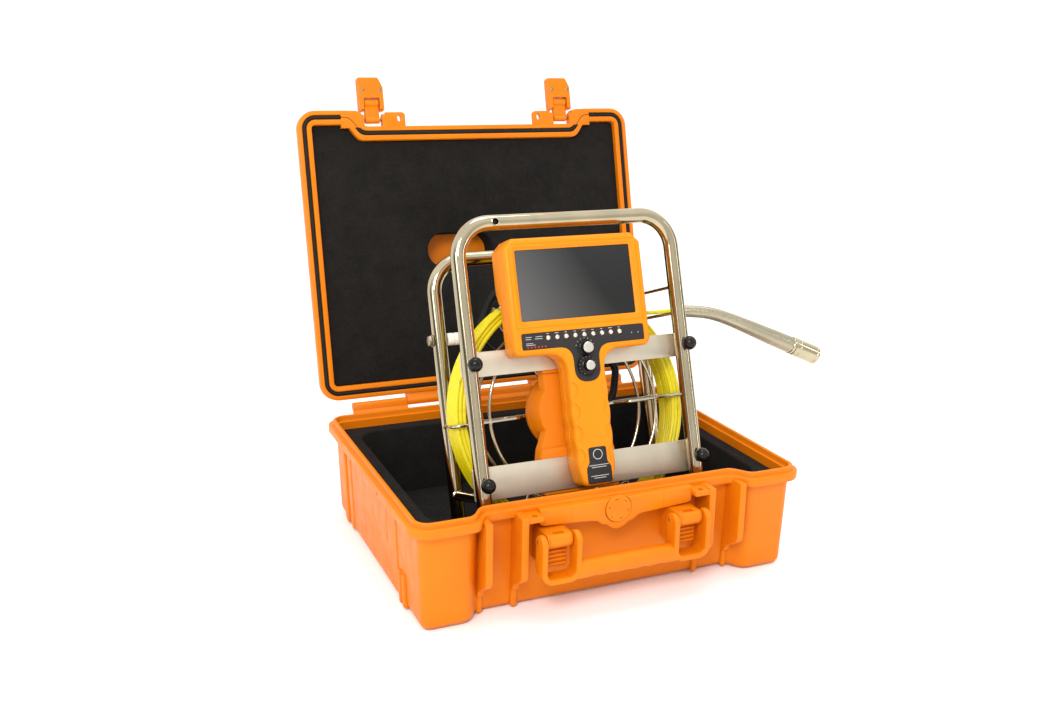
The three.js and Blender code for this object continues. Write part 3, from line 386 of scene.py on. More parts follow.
class Nodes:
    def __init__(self, name):
        self.material = bpy.data.materials.new(name)
        self.material.use_nodes = True
        self.tree = self.material.node_tree
        self.shader = self.tree.nodes["Principled BSDF"]
        self.place = self.node("ShaderNodeTexCoord").outputs["Object"]

    def node(self, kind, **settings):
        made = self.tree.nodes.new(kind)
        for key, value in settings.items():
            setattr(made, key, value)
        return made

    def link(self, a, b):
        self.tree.links.new(a, b)

    def noise(self, scale, detail=3, stretch=(1, 1, 1), roughness=0.55):
        mapping = self.node("ShaderNodeMapping")
        mapping.inputs["Scale"].default_value = stretch
        self.link(self.place, mapping.inputs["Vector"])
        noise = self.node("ShaderNodeTexNoise")
        noise.inputs["Scale"].default_value = scale
        noise.inputs["Detail"].default_value = detail
        noise.inputs["Roughness"].default_value = roughness
        self.link(mapping.outputs["Vector"], noise.inputs["Vector"])
        return noise.outputs["Fac"]

    def spread(self, value, low, high, start=0.3, end=0.7):
        ranged = self.node("ShaderNodeMapRange")
        for key, number in (("From Min", start), ("From Max", end), ("To Min", low), ("To Max", high)):
            ranged.inputs[key].default_value = number
        self.link(value, ranged.inputs["Value"])
        return ranged.outputs["Result"]

    def mixed(self, factor, first, second):
        mix = self.node("ShaderNodeMix", data_type="RGBA")
        for socket, value in ((mix.inputs[0], factor), (mix.inputs[6], first), (mix.inputs[7], second)):
            if isinstance(value, bpy.types.NodeSocket):
                self.link(value, socket)
            else:
                socket.default_value = value
        return mix.outputs[2]

    def bump(self, height, strength, distance, after=None):
        bump = self.node("ShaderNodeBump")
        bump.inputs["Strength"].default_value = strength
        bump.inputs["Distance"].default_value = distance
        self.link(height, bump.inputs["Height"])
        if after is not None:
            self.link(after, bump.inputs["Normal"])
        return bump.outputs["Normal"]

    def set(self, **values):
        for key, value in values.items():
            socket = self.shader.inputs[key.replace("_", " ")]
            if isinstance(value, bpy.types.NodeSocket):
                self.link(value, socket)
            else:
                socket.default_value = value
        return self.material


def moulded(name, colour, deeper, rough=(0.32, 0.46), grain=0.12, grain_scale=1400):
    """Moulded plastic: slow drifts of tone, a fine texture, and edges rubbed a little paler."""
    n = Nodes(name)
    drift = n.spread(n.noise(9, 3), 0, 1)
    body = n.mixed(drift, linear(colour), linear(deeper))
    specks = n.spread(n.noise(900, 2), 0, 0.16, 0.55, 0.75)
    body = n.mixed(specks, body, linear([c * 0.86 for c in colour]))
    worn = n.spread(n.node("ShaderNodeNewGeometry").outputs["Pointiness"], 0, 0.25, 0.52, 0.6)
    body = n.mixed(worn, body, linear([min(255, c * 1.04 + 10) for c in colour]))
    fine = n.bump(n.noise(grain_scale, 2), grain, 0.0002)
    wave = n.bump(n.noise(30, 2), 0.06, 0.002, fine)
    return n.set(Base_Color=body, Roughness=n.spread(n.noise(60, 3), *rough), Normal=wave,
                 Specular_IOR_Level=0.22)


def metal(name, colour, rough=(0.12, 0.26), brushed=(1, 1, 30), tint=0.92):
    """Bare metal: fine drawn lines, handling haze and a slight change of warmth."""
    n = Nodes(name)
    haze = n.noise(25, 4)
    body = n.mixed(n.spread(haze, 0, 1), linear(colour), linear([c * tint for c in colour]))
    lines = n.noise(260, 3, brushed)
    mixed = n.node("ShaderNodeMath", operation="MULTIPLY_ADD")
    n.link(lines, mixed.inputs[0])
    mixed.inputs[1].default_value = 0.35
    n.link(haze, mixed.inputs[2])
    return n.set(Base_Color=body, Metallic=1.0, Roughness=n.spread(mixed.outputs[0], *rough, 0.4, 0.95),
                 Normal=n.bump(lines, 0.05, 0.0002))


def foam_material(name, colour, high):
    """Cut polyethylene foam: closed cells a millimetre across, and paler scuffs."""
    n = Nodes(name)
    cells = n.node("ShaderNodeTexVoronoi", feature="F1")
    cells.inputs["Scale"].default_value = 900
    n.link(n.place, cells.inputs["Vector"])
    pale = n.spread(n.noise(45, 5), 0, 1, 0.35, 0.75)
    body = n.mixed(pale, linear(colour), linear(high))
    body = n.mixed(n.spread(cells.outputs["Distance"], 0, 0.5, 0.1, 0.8), body,
                   linear([c * 0.6 for c in colour]))
    pores = n.bump(cells.outputs["Distance"], 0.5, 0.0006)
    swell = n.bump(n.noise(60, 3), 0.15, 0.003, pores)
    return n.set(Base_Color=body, Roughness=n.spread(n.noise(200, 2), 0.85, 1.0), Normal=swell,
                 Specular_IOR_Level=0.2)


def rod_material(name):
    """The rod's jacket: bright yellow, with dusty scuffs along it."""
    n = Nodes(name)
    scuffs = n.spread(n.noise(90, 4, (1, 1, 1)), 0, 0.55, 0.56, 0.8)
    body = n.mixed(scuffs, linear((218, 202, 8)), linear((182, 160, 6)))
    return n.set(Base_Color=body, Roughness=n.spread(n.noise(150, 3), 0.25, 0.42),
                 Normal=n.bump(n.noise(700, 2), 0.1, 0.0002))


def screen_material(name):
    """The dark switched-off screen under glass, with a painted grey reflection across it, paler to the left
    and lower down.
    """
    n = Nodes(name)
    left, right = [corner[0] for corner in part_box("screen_glass")]
    split = n.node("ShaderNodeSeparateXYZ")
    n.link(n.place, split.inputs[0])
    across = n.spread(split.outputs["X"], 0, 1, left, right)
    bent_across = n.node("ShaderNodeMath", operation="MULTIPLY_ADD")
    n.link(split.outputs["Z"], bent_across.inputs[0])
    bent_across.inputs[1].default_value = 4.0
    n.link(across, bent_across.inputs[2])
    # Painted reflection: a grey sheen laid into the base colour, fading to the dark screen colour up and to
    # the right.
    painted_reflection = n.spread(bent_across.outputs[0], 0, 1, 1.35, 2.15)
    body = n.mixed(painted_reflection, linear((84, 84, 84)), linear((8, 8, 9)))
    fine = n.mixed(n.spread(n.noise(500, 2), 0, 0.08), body, linear((40, 40, 42)))
    return n.set(Base_Color=fine, Roughness=n.spread(n.noise(30, 2), 0.10, 0.16), Specular_IOR_Level=0.4,
                 Coat_Weight=0.3, Coat_Roughness=0.03)


ORANGE = moulded("case_orange", (220, 121, 4), (212, 111, 3), rough=(0.34, 0.5))
HANDSET = moulded("handset_orange", (230, 135, 8), (224, 127, 7), rough=(0.36, 0.5), grain=0.2)
KNOB_BLACK = moulded("knob_black", (26, 24, 23), (18, 17, 16), rough=(0.12, 0.28), grain=0.04)
RUBBER = moulded("seal_rubber", (28, 27, 26), (20, 20, 20), rough=(0.6, 0.75), grain=0.15)
CABLE_BLACK = moulded("cable_black", (24, 24, 25), (18, 18, 19), rough=(0.4, 0.55), grain=0.1)
NYLON = moulded("nylon_white", (236, 232, 222), (224, 218, 204), rough=(0.4, 0.55), grain=0.08)
PANEL_FILM = moulded("panel_film", (46, 44, 44), (36, 35, 36), rough=(0.38, 0.5), grain=0.06)
PRINT = moulded("panel_print", (205, 203, 198), (188, 186, 182), rough=(0.5, 0.6), grain=0.05)
PRINT_RED = moulded("panel_print_red", (186, 52, 34), (168, 60, 36), rough=(0.5, 0.6), grain=0.05)
FOAM = foam_material("foam", (22, 20, 17), (32, 28, 25))
STEEL = metal("tube_steel", (190, 178, 150), rough=(0.05, 0.12))
WIRE = metal("wire_steel", (200, 192, 172), rough=(0.08, 0.18))
PIN_STEEL = metal("pin_steel", (170, 160, 142), rough=(0.3, 0.45))
SPRING_STEEL = metal("spring_steel", (178, 170, 146), rough=(0.2, 0.34))
HEAD_STEEL = metal("head_steel", (194, 184, 154), rough=(0.1, 0.2), brushed=(1, 30, 1))
ALUMINIUM = metal("plate_aluminium", (216, 206, 186), rough=(0.4, 0.53), brushed=(1, 20, 40), tint=0.95)
DIAL_SILVER = metal("dial_silver", (232, 228, 216), rough=(0.28, 0.42))
ROD_YELLOW = rod_material("rod_yellow")
SCREEN_GLASS = screen_material("screen_glass")
LENS_GLASS = moulded("lens_glass", (18, 20, 26), (12, 13, 18), rough=(0.04, 0.08), grain=0.0)


# ---- The case's plan outline ----
def case_outline(inset, arc=10):
    """The rim's outline drawn in by an inset: its middle front stands back between two lugs."""
    w, d = RIM_W / 2 - inset, RIM_D / 2 - inset
    r = max(RIM_CORNER - inset, 6)
    inner, outer = RECESS_INNER + 0.41 * inset, RECESS_OUTER + 0.41 * inset
    middle, back = (inner + outer) / 2, -d + RECESS_DEPTH

    def corner(cx, cy, first):
        turns = [math.radians(first + 90 * k / arc) for k in range(arc + 1)]
        return [(cx + r * math.cos(a), cy + r * math.sin(a)) for a in turns]

    def curve(start, end):
        points = []
        for k in range(arc + 1):
            t = k / arc
            bow = 3 * middle * math.copysign(1, start[0])
            x = start[0] * (1 - t) ** 3 + bow * t * (1 - t) + end[0] * t ** 3
            y = start[1] * (1 - t) ** 2 * (1 + 2 * t) + end[1] * t * t * (3 - 2 * t)
            points.append((x, y))
        return points

    return (corner(w - r, d - r, 0) + corner(-w + r, d - r, 90) + corner(-w + r, -d + r, 180)
            + curve((-outer, -d), (-inner, back)) + curve((inner, back), (outer, -d))
            + corner(w - r, -d + r, 270))


def lofted(profile):
    """A skin through the case's outline at each (inset, height)."""
    return shell([[(x, y, z) for x, y in case_outline(inset)] for inset, z in profile])


def rounding(centre, radius, first, last, steps=5):
    turns = [math.radians(first + (last - first) * k / steps) for k in range(steps + 1)]
    return [(centre[0] + radius * math.cos(a), centre[1] + radius * math.sin(a)) for a in turns]


WALL_FOOT, WALL_TOP = (15, 12), (11, 118)


def wall_reach(z):
    """How far the outer wall stands in from the rim at a height."""
    (low_inset, low), (high_inset, high) = WALL_FOOT, WALL_TOP
    return low_inset + (high_inset - low_inset) * (z - low) / (high - low)


SLOPE = (WALL_TOP[0] - WALL_FOOT[0]) / (WALL_TOP[1] - WALL_FOOT[1])


def wall_frame(side):
    """Takes (along, up, out) on a sloping wall to the frame. The side is left, right, back or front."""
    start = wall_reach(0)
    columns = {
        "left": ((0, 1, 0), (SLOPE, 0, 1), (-1, 0, 0), (-RIM_W / 2 + start, 0, 0)),
        "right": ((0, 1, 0), (-SLOPE, 0, 1), (1, 0, 0), (RIM_W / 2 - start, 0, 0)),
        "back": ((1, 0, 0), (0, -SLOPE, 1), (0, 1, 0), (0, RIM_D / 2 - start, 0)),
        "front": ((1, 0, 0), (0, SLOPE, 1), (0, -1, 0), (0, FRONT + RECESS_DEPTH + start, 0)),
    }[side]
    matrix = Matrix.Identity(4)
    for index, column in enumerate(columns):
        for row in range(3):
            matrix[row][index] = column[row]
    return matrix


def bead(along, half, low, high, proud, side, round_top=False):
    """A rib on a wall, with rounded edges and a rounded lower end."""
    top = half * 0.9 if round_top else 0
    outline = fillet([(along - half, low), (along + half, low), (along + half, high), (along - half, high)],
                     [half * 0.95, half * 0.95, top, top], 6)
    return slab(outline, -3, proud, min(proud, half) * 0.7).moved(wall_frame(side))


def side_view(outline, x0, x1, edge=1.5, steps=3):
    """A (y, z) outline given thickness along x."""
    return slab(outline, x0, x1, edge, "x", steps)


def front_fin(x):
    """A plate from the flange that slopes back into a narrow bead near the foot."""
    tip, root = FRONT + 1, WALL_Y + 3
    outline = fillet([(root, 22), (WALL_Y - 5, 26), (WALL_Y - 7, 34), (tip, 50), (tip, 128), (root, 128)],
                     [0, 10, 14, 14, 2, 0], 6)
    return side_view(outline, x - 4.5, x + 4.5, 1.6)


def padlock_tab(side):
    near, far = side * 122, side * 100
    outline = fillet([(near, FRONT + 2), (far, FRONT + 2), (far, WALL_Y), (near, WALL_Y)],
                     [0.5, 3, 0.5, 0.5], 4)
    hole = turned([(3.2, 0), (3.2, 12)], (side * 110, FRONT + 9, 117), (0, 0, 1), 20)
    return cut(slab(outline, 120, 126.5, 1.2), hole)


def apron():
    """The panel under the rim that carries the purge valve, scalloped round it."""
    lower = [(-101, 112), (-96, 109.5), (-34, 106), (-27, 104.5), (-21, 99.5)]
    lower += [(20 * math.sin(a), VALVE_Z - 27 * math.cos(a) * 0.97)
              for a in (math.radians(-44 + 8 * k) for k in range(12))]
    lower += [(-x, z) for x, z in reversed(lower[:5])]
    outline = lower + [(101, 130), (-101, 130)]
    panel = slab([(x, z) for x, z in outline], -(WALL_Y + 2), -APRON_Y, 1.4, "z")
    stand = Matrix(((1, 0, 0, 0), (0, 0, -1, 0), (0, 1, 0, 0), (0, 0, 0, 1)))
    panel = panel.moved(stand)
    seams = [box(x - 0.35, x + 0.35, APRON_Y - 1, APRON_Y + 0.35, 100, 131, 0.1) for x in (-61, 61)]
    seat = turned([(17.6, -1), (17.6, 3.2), (0.1, 3.2)], (0, APRON_Y, VALVE_Z), (0, 1, 0), 56)
    return cut(panel, seat, *seams)


def handle_bracket(side):
    """The barrel that the handle turns in, with ribs below it."""
    x = side * HANDLE_X
    barrel = rounding((HANDLE_Y, HANDLE_Z), 10, -60, -235, 14)
    outline = [(WALL_Y + 3, 62), (HANDLE_Y + 6, 62), (HANDLE_Y + 6, 86)]
    outline += [(y, z) for y, z in barrel]
    outline += [(HANDLE_Y + 8, HANDLE_Z + 8), (WALL_Y + 3, HANDLE_Z + 8)]
    parts = [side_view(outline, x - 15.5, x + 15.5, 1.0)]
    for k in range(5):
        z = 65.5 + 5.4 * k
        parts.append(box(x - 14, x + 14, HANDLE_Y + 3.2, HANDLE_Y + 9, z - 1.5, z + 1.5, 1.2, "x"))
    block = joined(*parts)
    slot = box(x - 6.5, x + 6.5, HANDLE_Y - 5, HANDLE_Y + 3, HANDLE_Z + 4, HANDLE_Z + 12, 0.6)
    rings = [turned([(13, -0.35), (9.4, -0.35), (9.4, 0.35), (13, 0.35)], (x + s * 13.2, HANDLE_Y, HANDLE_Z),
                    (1, 0, 0), 40, wrap=True) for s in (-1, 1)]
    return cut(block, slot, *rings)


def hinge_strap(x0, x1):
    outline = [(RIM_D / 2 - 4, 124), (HINGE_Y - 2, HINGE_Z - 9)]
    outline += rounding((HINGE_Y, HINGE_Z), 6, -60, 150, 12)
    outline += [(HINGE_Y - 6.4, HINGE_Z - 4), (RIM_D / 2 - 4, 131)]
    return side_view(outline, x0, x1, 0.5, 2)


def case_base():
    body = lofted(rounding((27, 12), 12, -90, -180, 6) + [WALL_TOP, (10.2, 120.2), (8.4, 121), (2, 121)]
                  + [(0.6, 121.5), (0, 122.8), (0, 130.4), (0.5, 131.5), (1.5, 132), (4.9, 132), (5.7, 132.3)]
                  + [(6, 133.1), (6, 136), (6.6, 137.4), (7.8, 138), (9.7, 138), (10.9, 137.4), (11.5, 136)]
                  + [(11.5, 131.8), (12.2, 130.6), (15, 130), (15.4, 118), (19, 9), (20.4, 6.2), (23, 5)])
    parts = [front_fin(side * x) for side in (-1, 1) for x in (124, 168)]
    parts += [bead(side * x, 4.2, 1.5, 44, 4.5, "front") for side in (-1, 1) for x in (124, 168)]
    parts += [padlock_tab(side) for side in (-1, 1)] + [handle_bracket(side) for side in (-1, 1)] + [apron()]
    parts += [hinge_strap(*ends) for ends in ((-215, -135), (-60, 60), (135, 215))]
    for side in ("left", "right"):
        parts += [bead(137, 8, 3, 121, 3.4, side), bead(112, 9, 3, 121, 2.2, side)]
        parts += [bead(-112, 4.5, 2, 46, 3.6, side, True), bead(-127, 4.5, 2, 46, 3.6, side, True)]
        parts += [box(-102, 103, 8, 122, -3, 1.1, 1.0, "z", 3).moved(wall_frame(side))]
    parts += [bead(x, 5, 3, 121, 3.5, "back") for x in (-150, -50, 50, 150)]
    body = joined(body, *parts)
    ends = [wall_frame(side) for side in ("left", "right")]
    grooves = [box(-65, -63, 62, 122, 0.2, 3, 0.4, "z", 0.9).moved(end) for end in ends]
    grooves += [box(-66.5, -61.5, 119, 126, 3.5, 20, 0.5).moved(end) for end in ends]
    return cut(body, *grooves)


piece("base_shell", case_base(), "case", ORANGE, stands_for=["case_base"], smooth=35)


def base_foam():
    """The base's foam liner: a block with a rounded well, and a ledge for the rack's front feet."""
    inset, border, well_front = 15.4, 22, -162.6
    top, floor, ledge_top = 120, 22, 55.6
    block = lofted([(20, 5.4), (19.4, 6), (16.2, 117), (16.6, 119.2), (18, 120)])
    half, back = RIM_W / 2 - inset - border, RIM_D / 2 - inset - border
    well = fillet([(-half, well_front), (half, well_front), (half, back), (-half, back)], 30, 8)
    levels = [(0, floor), (0, top - 2.2), (-0.7, top - 0.9), (-2.2, top - 0.1), (-2.6, top + 2)]
    cavity = shell([[(x, y, z) for x, y in drawn_in(well, draw)] for draw, z in levels])
    ledge = box(-half + 2, half - 2, well_front - 1, -139, floor - 1, ledge_top, 1.5, "x")
    return joined(cut(block, cavity), ledge)


liner = piece("base_liner", base_foam(), "case", FOAM, stands_for=["base_foam"], smooth=40)


def purge_valve():
    face = APRON_Y - 1.6
    cap = turned([(5, 0), (16.0, 0), (16.7, 0.7), (16.7, 4.2), (5, 4.2)], (0, face, VALVE_Z), (0, 1, 0), 64)
    ports = []
    for k in range(6):
        turn = Matrix.Translation((0, 0, VALVE_Z)) @ Matrix.Rotation(math.radians(60 * k + 15), 4, "Y")
        ports.append(box(12.0, 13.4, face - 1, face + 1.5, -1.9, 1.9, 0.4).moved(turn))
    return cut(cap, *ports)


piece("purge_cap", purge_valve(), "purge", ORANGE, stands_for=["purge_valve"])


def carry_handle():
    """Two deep U-frames round the ribbed brackets, joined by a grip."""
    deep, thick, middle_y = 11.5, 3.5, -212.5
    low = HANDLE_Z - 50 + thick
    section = fillet([(-deep, -thick), (deep, -thick), (deep, thick), (-deep, thick)], 2.4, 4)
    parts = []
    for side in (-1, 1):
        outer, inner = side * (HANDLE_X + 21.5), side * (HANDLE_X - 21.5)
        path = bent([(outer, middle_y, HANDLE_Z), (outer, middle_y, low), (inner, middle_y, low),
                     (inner, middle_y, HANDLE_Z)], 11, 8)
        parts.append(tube(path, 1, section=section))
        for x in (outer, inner):
            eye = rounding((middle_y, HANDLE_Z - 2), deep, 0, 360, 40)[:-1]
            parts.append(side_view(eye, x - thick, x + thick, 1.6))
    length = HANDLE_X - 21.5
    rings = []
    for k in range(41):
        x = -length - 1 + (2 * length + 2) * k / 40
        swell = 1 - 0.075 * (0.5 + 0.5 * math.cos(2 * math.pi * x / 21.5)) * (abs(x) < 50)
        ring = []
        for j in range(28):
            a = 2 * math.pi * j / 28
            dy = math.copysign(abs(math.cos(a)) ** 0.75, math.cos(a))
            dz = math.copysign(abs(math.sin(a)) ** 0.75, math.sin(a))
            ring.append((x, middle_y - 2 + 9.8 * dy * swell, low + 7.6 + 11 * dz * (swell if dz < 0 else 1)))
        rings.append(ring)
    parts.append(shell(rings))
    bores = [turned([(2.5, -30), (2.5, 30)], (side * HANDLE_X, HANDLE_Y, HANDLE_Z), (1, 0, 0),
                    20) for side in (-1, 1)]
    return cut(joined(*parts), *bores)


piece("handle_frame", carry_handle(), "handle", ORANGE, stands_for=["carry_handle"])
for side, tag in ((-1, "l"), (1, "r")):
    x = side * HANDLE_X
    piece(f"handle_axle_{tag}", pin((x - 24.8, HANDLE_Y, HANDLE_Z), (x + 24.8, HANDLE_Y, HANDLE_Z), 2.1),
          "case", PIN_STEEL, stands_for=[f"handle_pin_{tag}"])
piece("hinge_axle", pin((-215.5, HINGE_Y, HINGE_Z), (215.5, HINGE_Y, HINGE_Z), 2), "case",
      PIN_STEEL,
      stands_for=["hinge_pin"])


# ---- Lid, drawn closed ----
RIM_Z = LID_PARTING
LATCH_EDGE = FRONT + RECESS_DEPTH
LINK_Y, LEVER_Y, LINK_Z = LATCH_EDGE - 10, LATCH_EDGE - 34, 147
POCKET_X, POCKET_Y, POCKET_HALF, POCKET_R = -30, 0, 51, 25


def case_lid():
    skin = lofted([(24, 182), (21.2, 181), (20, 178), (20, 141), (19.5, 139.4), (18, RIM_Z), (13.6, RIM_Z)]
                  + [(12.7, 139.4), (12.7, 143.6), (6.3, 143.6), (6.3, 139.4), (5.5, RIM_Z), (1.6, RIM_Z)]
                  + [(0.5, 139.1), (0, 140.2), (0, 150.4), (0.5, 151.5), (1.6, 152), (6.4, 152), (7.8, 152.8)]
                  + [(8.4, 155), (10, 172)] + [(x, z) for x, z in rounding((23, 173), 13, 180, 90, 6)][1:])
    parts = []
    for side in (-1, 1):
        x = side * LATCH_X
        for ear in (-1, 1):
            nose = fillet([(LATCH_EDGE + 2, RIM_Z), (LATCH_EDGE - 15, RIM_Z), (LATCH_EDGE - 18, 143),
                           (LATCH_EDGE - 16, 151), (LATCH_EDGE + 2, 152)], [0, 2, 2, 3, 0], 3)
            parts.append(side_view(nose, x + ear * 17 - 3.6, x + ear * 17 + 3.6, 0.9))
        wing = [(side * 166, LATCH_EDGE + 2), (side * 166, FRONT + 2.5), (side * 174, FRONT + 0.6),
                (side * 196, FRONT + 0.4), (side * 196, LATCH_EDGE + 2)]
        parts.append(slab(wing, RIM_Z + 0.2, 151, 0.9))
        tab = fillet([(side * 130, LATCH_EDGE + 1), (side * 130, FRONT + 3), (side * 101, FRONT + 3),
                      (side * 101, LATCH_EDGE + 1)], [0, 0.5, 5, 0], 5)
        hole = shell([[(side * 110 + 3 * math.cos(a), LATCH_EDGE - 11 + 4.8 * math.sin(a), z)
                       for a in (2 * math.pi * k / 28 for k in range(28))] for z in (130, 160)])
        parts.append(cut(slab(tab, RIM_Z + 0.4, RIM_Z + 7, 0.9), hole))
    for x0, x1 in ((-134.4, -60.6), (60.6, 134.4)):
        strap = [(RIM_D / 2 - 3, 151.4)] + rounding((HINGE_Y, HINGE_Z), 6, 75, -140,
                                                    12) + [(RIM_D / 2 - 3, 141)]
        parts.append(side_view(strap, x0, x1, 0.5, 2))
    for x in (-120, -40, 40, 120):
        parts.append(box(x - 5, x + 5, -150, 150, 183, 188.2, 1.6, "z", 4.5))
    body = joined(skin, *parts)
    bores = [turned([(2.4, -22), (2.4, 22)], (side * LATCH_X, LINK_Y, LINK_Z), (1, 0, 0),
                    20) for side in (-1, 1)]
    return cut(body, *bores)


piece("lid_shell", case_lid(), "lid", ORANGE, LID, ["case_lid"], smooth=35)

seal = shell([[(x, y, z) for x, y in case_outline(inset)] for inset, z in
              [(7, 143.2), (6.8, 141), (7.3, 139.7), (8.4, 138.95), (9.6, 138.7), (10.8, 138.95),
               (11.8, 139.7),
               (12.2, 141), (12, 143.2)]], wrap=True)
piece("lid_seal", seal, "lid", RUBBER, LID, ["lid_gasket"], smooth=60)


def lid_foam():
    pad = lofted([(20.4, 181.4), (20.4, 148), (20.9, 146.2), (22.4, 145.6)])
    pill = fillet([(POCKET_X - POCKET_HALF, POCKET_Y - POCKET_R),
                   (POCKET_X + POCKET_HALF, POCKET_Y - POCKET_R),
                   (POCKET_X + POCKET_HALF, POCKET_Y + POCKET_R),
                   (POCKET_X - POCKET_HALF, POCKET_Y + POCKET_R)],
                  POCKET_R * 0.99, 14)
    levels = [(0, 190), (0, 147.6), (-0.6, 146.3), (-2, 145.4), (-2.2, 144)]
    return cut(pad, shell([[(x, y, z) for x, y in drawn_in(pill, draw)] for draw, z in levels]))


pad = piece("lid_liner", lid_foam(), "lid", FOAM, LID, ["lid_foam"], smooth=40)


def latch_lever(x):
    far, near, notch = LINK_Y - 60, LINK_Y - 12.5, LEVER_Y + 2
    face = fillet([(x - 18, near), (x - 18, far), (x + 11.5, far), (x + 18, far + 14), (x + 18, near)],
                  [1.5, 1.5, 3, 5, 1.5], 4)
    block = slab(face, 139.6, 155, 1.3)
    scoop = turned([(9, -30), (9, 30)], (x, far - 6, 157), (1, 0, 0), 40)
    gap = box(x - 11.8, x + 11.8, notch - 9, near + 4, 130, 160, 0.4, "z")
    bevel = box(x - 15, x + 15, near - 2.5, near + 6, 136, 143.5, 0.8, "x")
    rivets = [turned([(2.6, -1), (2.6, 1.1)], (x + dx, far + 17.5, 139.6), (0, 0, 1), 20) for dx in (-12, 13)]
    return cut(block, scoop, gap, bevel, *rivets)


def latch_link(x):
    body = box(x - 10.6, x + 10.6, LEVER_Y - 3, LINK_Y + 3, 143.4, 150.6, 1.2, "x")
    knuckle = pin((x - 10.6, LEVER_Y, LINK_Z), (x + 10.6, LEVER_Y, LINK_Z), 6.2, 0.8, 32)
    foot = pin((x - 10.6, LINK_Y, LINK_Z), (x + 10.6, LINK_Y, LINK_Z), 5, 0.8, 32)
    return joined(body, knuckle, foot)


for side, tag in ((-1, "l"), (1, "r")):
    x = side * LATCH_X
    piece(f"latch_body_{tag}", latch_lever(x), f"latch_lever_{tag}", ORANGE, LID,
          [f"latch_lever_{tag}"])
    piece(f"latch_arm_{tag}", latch_link(x), f"latch_link_{tag}", ORANGE, LID,
          [f"latch_link_{tag}"])
    rivets = Shape()
    for dx in (-12, 13):
        rivets.add(turned([(0.3, -0.35), (1.6, -0.3), (2.3, 0.2), (2.3, 1)], (x + dx, LINK_Y - 42.5, 139.7),
                          (0, 0, 1), 24))
    piece(f"latch_rivets_{tag}", rivets, f"latch_lever_{tag}", PIN_STEEL, LID)
    piece(f"latch_link_axle_{tag}", pin((x - 20.8, LINK_Y, LINK_Z), (x + 20.8, LINK_Y, LINK_Z), 2), "lid",
          PIN_STEEL, LID, [f"latch_link_pin_{tag}"])
    piece(f"latch_lever_axle_{tag}", pin((x - 17.6, LEVER_Y, LINK_Z), (x + 17.6, LEVER_Y, LINK_Z), 2),
          f"latch_link_{tag}", PIN_STEEL, LID, [f"latch_lever_pin_{tag}"])


# ---- Rack, drawn upright with its front tubes at y = 0 ----
def hoop(y, top):
    path = bent([(-HOOP_HALF, y, LEG_FOOT), (-HOOP_HALF, y, top), (HOOP_HALF, y, top),
                 (HOOP_HALF, y, LEG_FOOT)],
                42, 18)
    return tube(path, TUBE_R, 36)


def weld(a, b, radius, size=1.3):
    """A bead round a bar where it meets a tube."""
    return turned([(radius, -size * 0.7), (radius + size, -size * 0.2), (radius + size * 0.8, size * 0.6),
                   (radius, size), (radius - 0.5, 0)], a, Vector(b) - Vector(a), 28, wrap=True)


peg_hole = turned([(4, -12), (4, 2)], (-96, 0, HOOP_TOP), (0, 1, 0), 28)
rim = turned([(4, -0.4), (4.4, -0.7), (5.1, -0.4), (5.4, 0.6), (4, 0.6)], (-96, -TUBE_R + 0.6, HOOP_TOP),
             (0, 1, 0),
             36, wrap=True)
# A black liner in the peg hole: painted shade standing for the dark inside of the hollow tube.
socket = turned([(3.95, -TUBE_R + 0.9), (3.95, -3), (0.2, -3), (0.2, -4), (3, -4.4)], (-96, 0, HOOP_TOP),
                (0, 1, 0),
                28, wrap=True)
piece("peg_shade_liner", socket, "rack", KNOB_BLACK, RACK)
piece("rack_front_hoop", cut(hoop(0, HOOP_TOP), peg_hole).add(rim), "rack", STEEL, RACK,
      ["front_hoop"], 40)
piece("rack_rear_hoop", hoop(HOOP_GAP, REAR_TOP), "rack", STEEL, RACK, ["rear_hoop"], 40)
CROSS_R, CROSS_S = 6, -13
for side, tag in ((-1, "l"), (1, "r")):
    front_end = (side * HOOP_HALF, 12.8, CROSS_S)
    rear_end = (side * HOOP_HALF, HOOP_GAP - TUBE_R + 1.5, CROSS_S)
    bar = pin(front_end, rear_end, CROSS_R, 0.6, 32).add(weld(rear_end, front_end, CROSS_R, 1.6))
    piece(f"rack_cross_tube_{tag}", bar, "rack", STEEL, RACK, [f"cross_tube_{tag}"])

LOOP_LOW, LOOP_HIGH = 188, 222
loop_front, loop_back = TUBE_R - 1.5, HOOP_GAP - TUBE_R - 3.4
loop_path = bent([(HOOP_HALF, loop_front, LOOP_LOW), (HOOP_HALF, loop_back, LOOP_LOW),
                  (HOOP_HALF, loop_back, LOOP_HIGH), (HOOP_HALF, loop_front, LOOP_HIGH)], 8, 8)
guide = tube(loop_path, 2.2, 16)
for s in (LOOP_LOW, LOOP_HIGH):
    guide.add(weld((HOOP_HALF, TUBE_R, s), (HOOP_HALF, TUBE_R + 10, s), 2.2, 1.2))
piece("rack_rod_guide", guide, "rack", WIRE, RACK, ["rod_guide_loop"], 50)

PLATE_FRONT, PLATE_T, PLATE_HALF = 9.9, 2.5, 153
BALLS = (("upper_l", -HOOP_HALF, 147), ("lower_l", -HOOP_HALF, 4), ("upper_r", HOOP_HALF, 147),
         ("lower_r", HOOP_HALF, 4))
for name, low, high in (("upper", 132, 162), ("lower", -16, 24)):
    plate = box(-PLATE_HALF, PLATE_HALF, PLATE_FRONT, PLATE_FRONT + PLATE_T, low, high, 0.4, "y", 2.5)
    holes = [turned([(3.3, -4), (3.3, 4)], (u, PLATE_FRONT, s), (0, 1, 0), 24) for _, u, s in BALLS
             if low < s < high]
    piece(f"rack_{name}_plate", cut(plate, *holes), "rack", ALUMINIUM, RACK,
          [f"{name}_plate"])

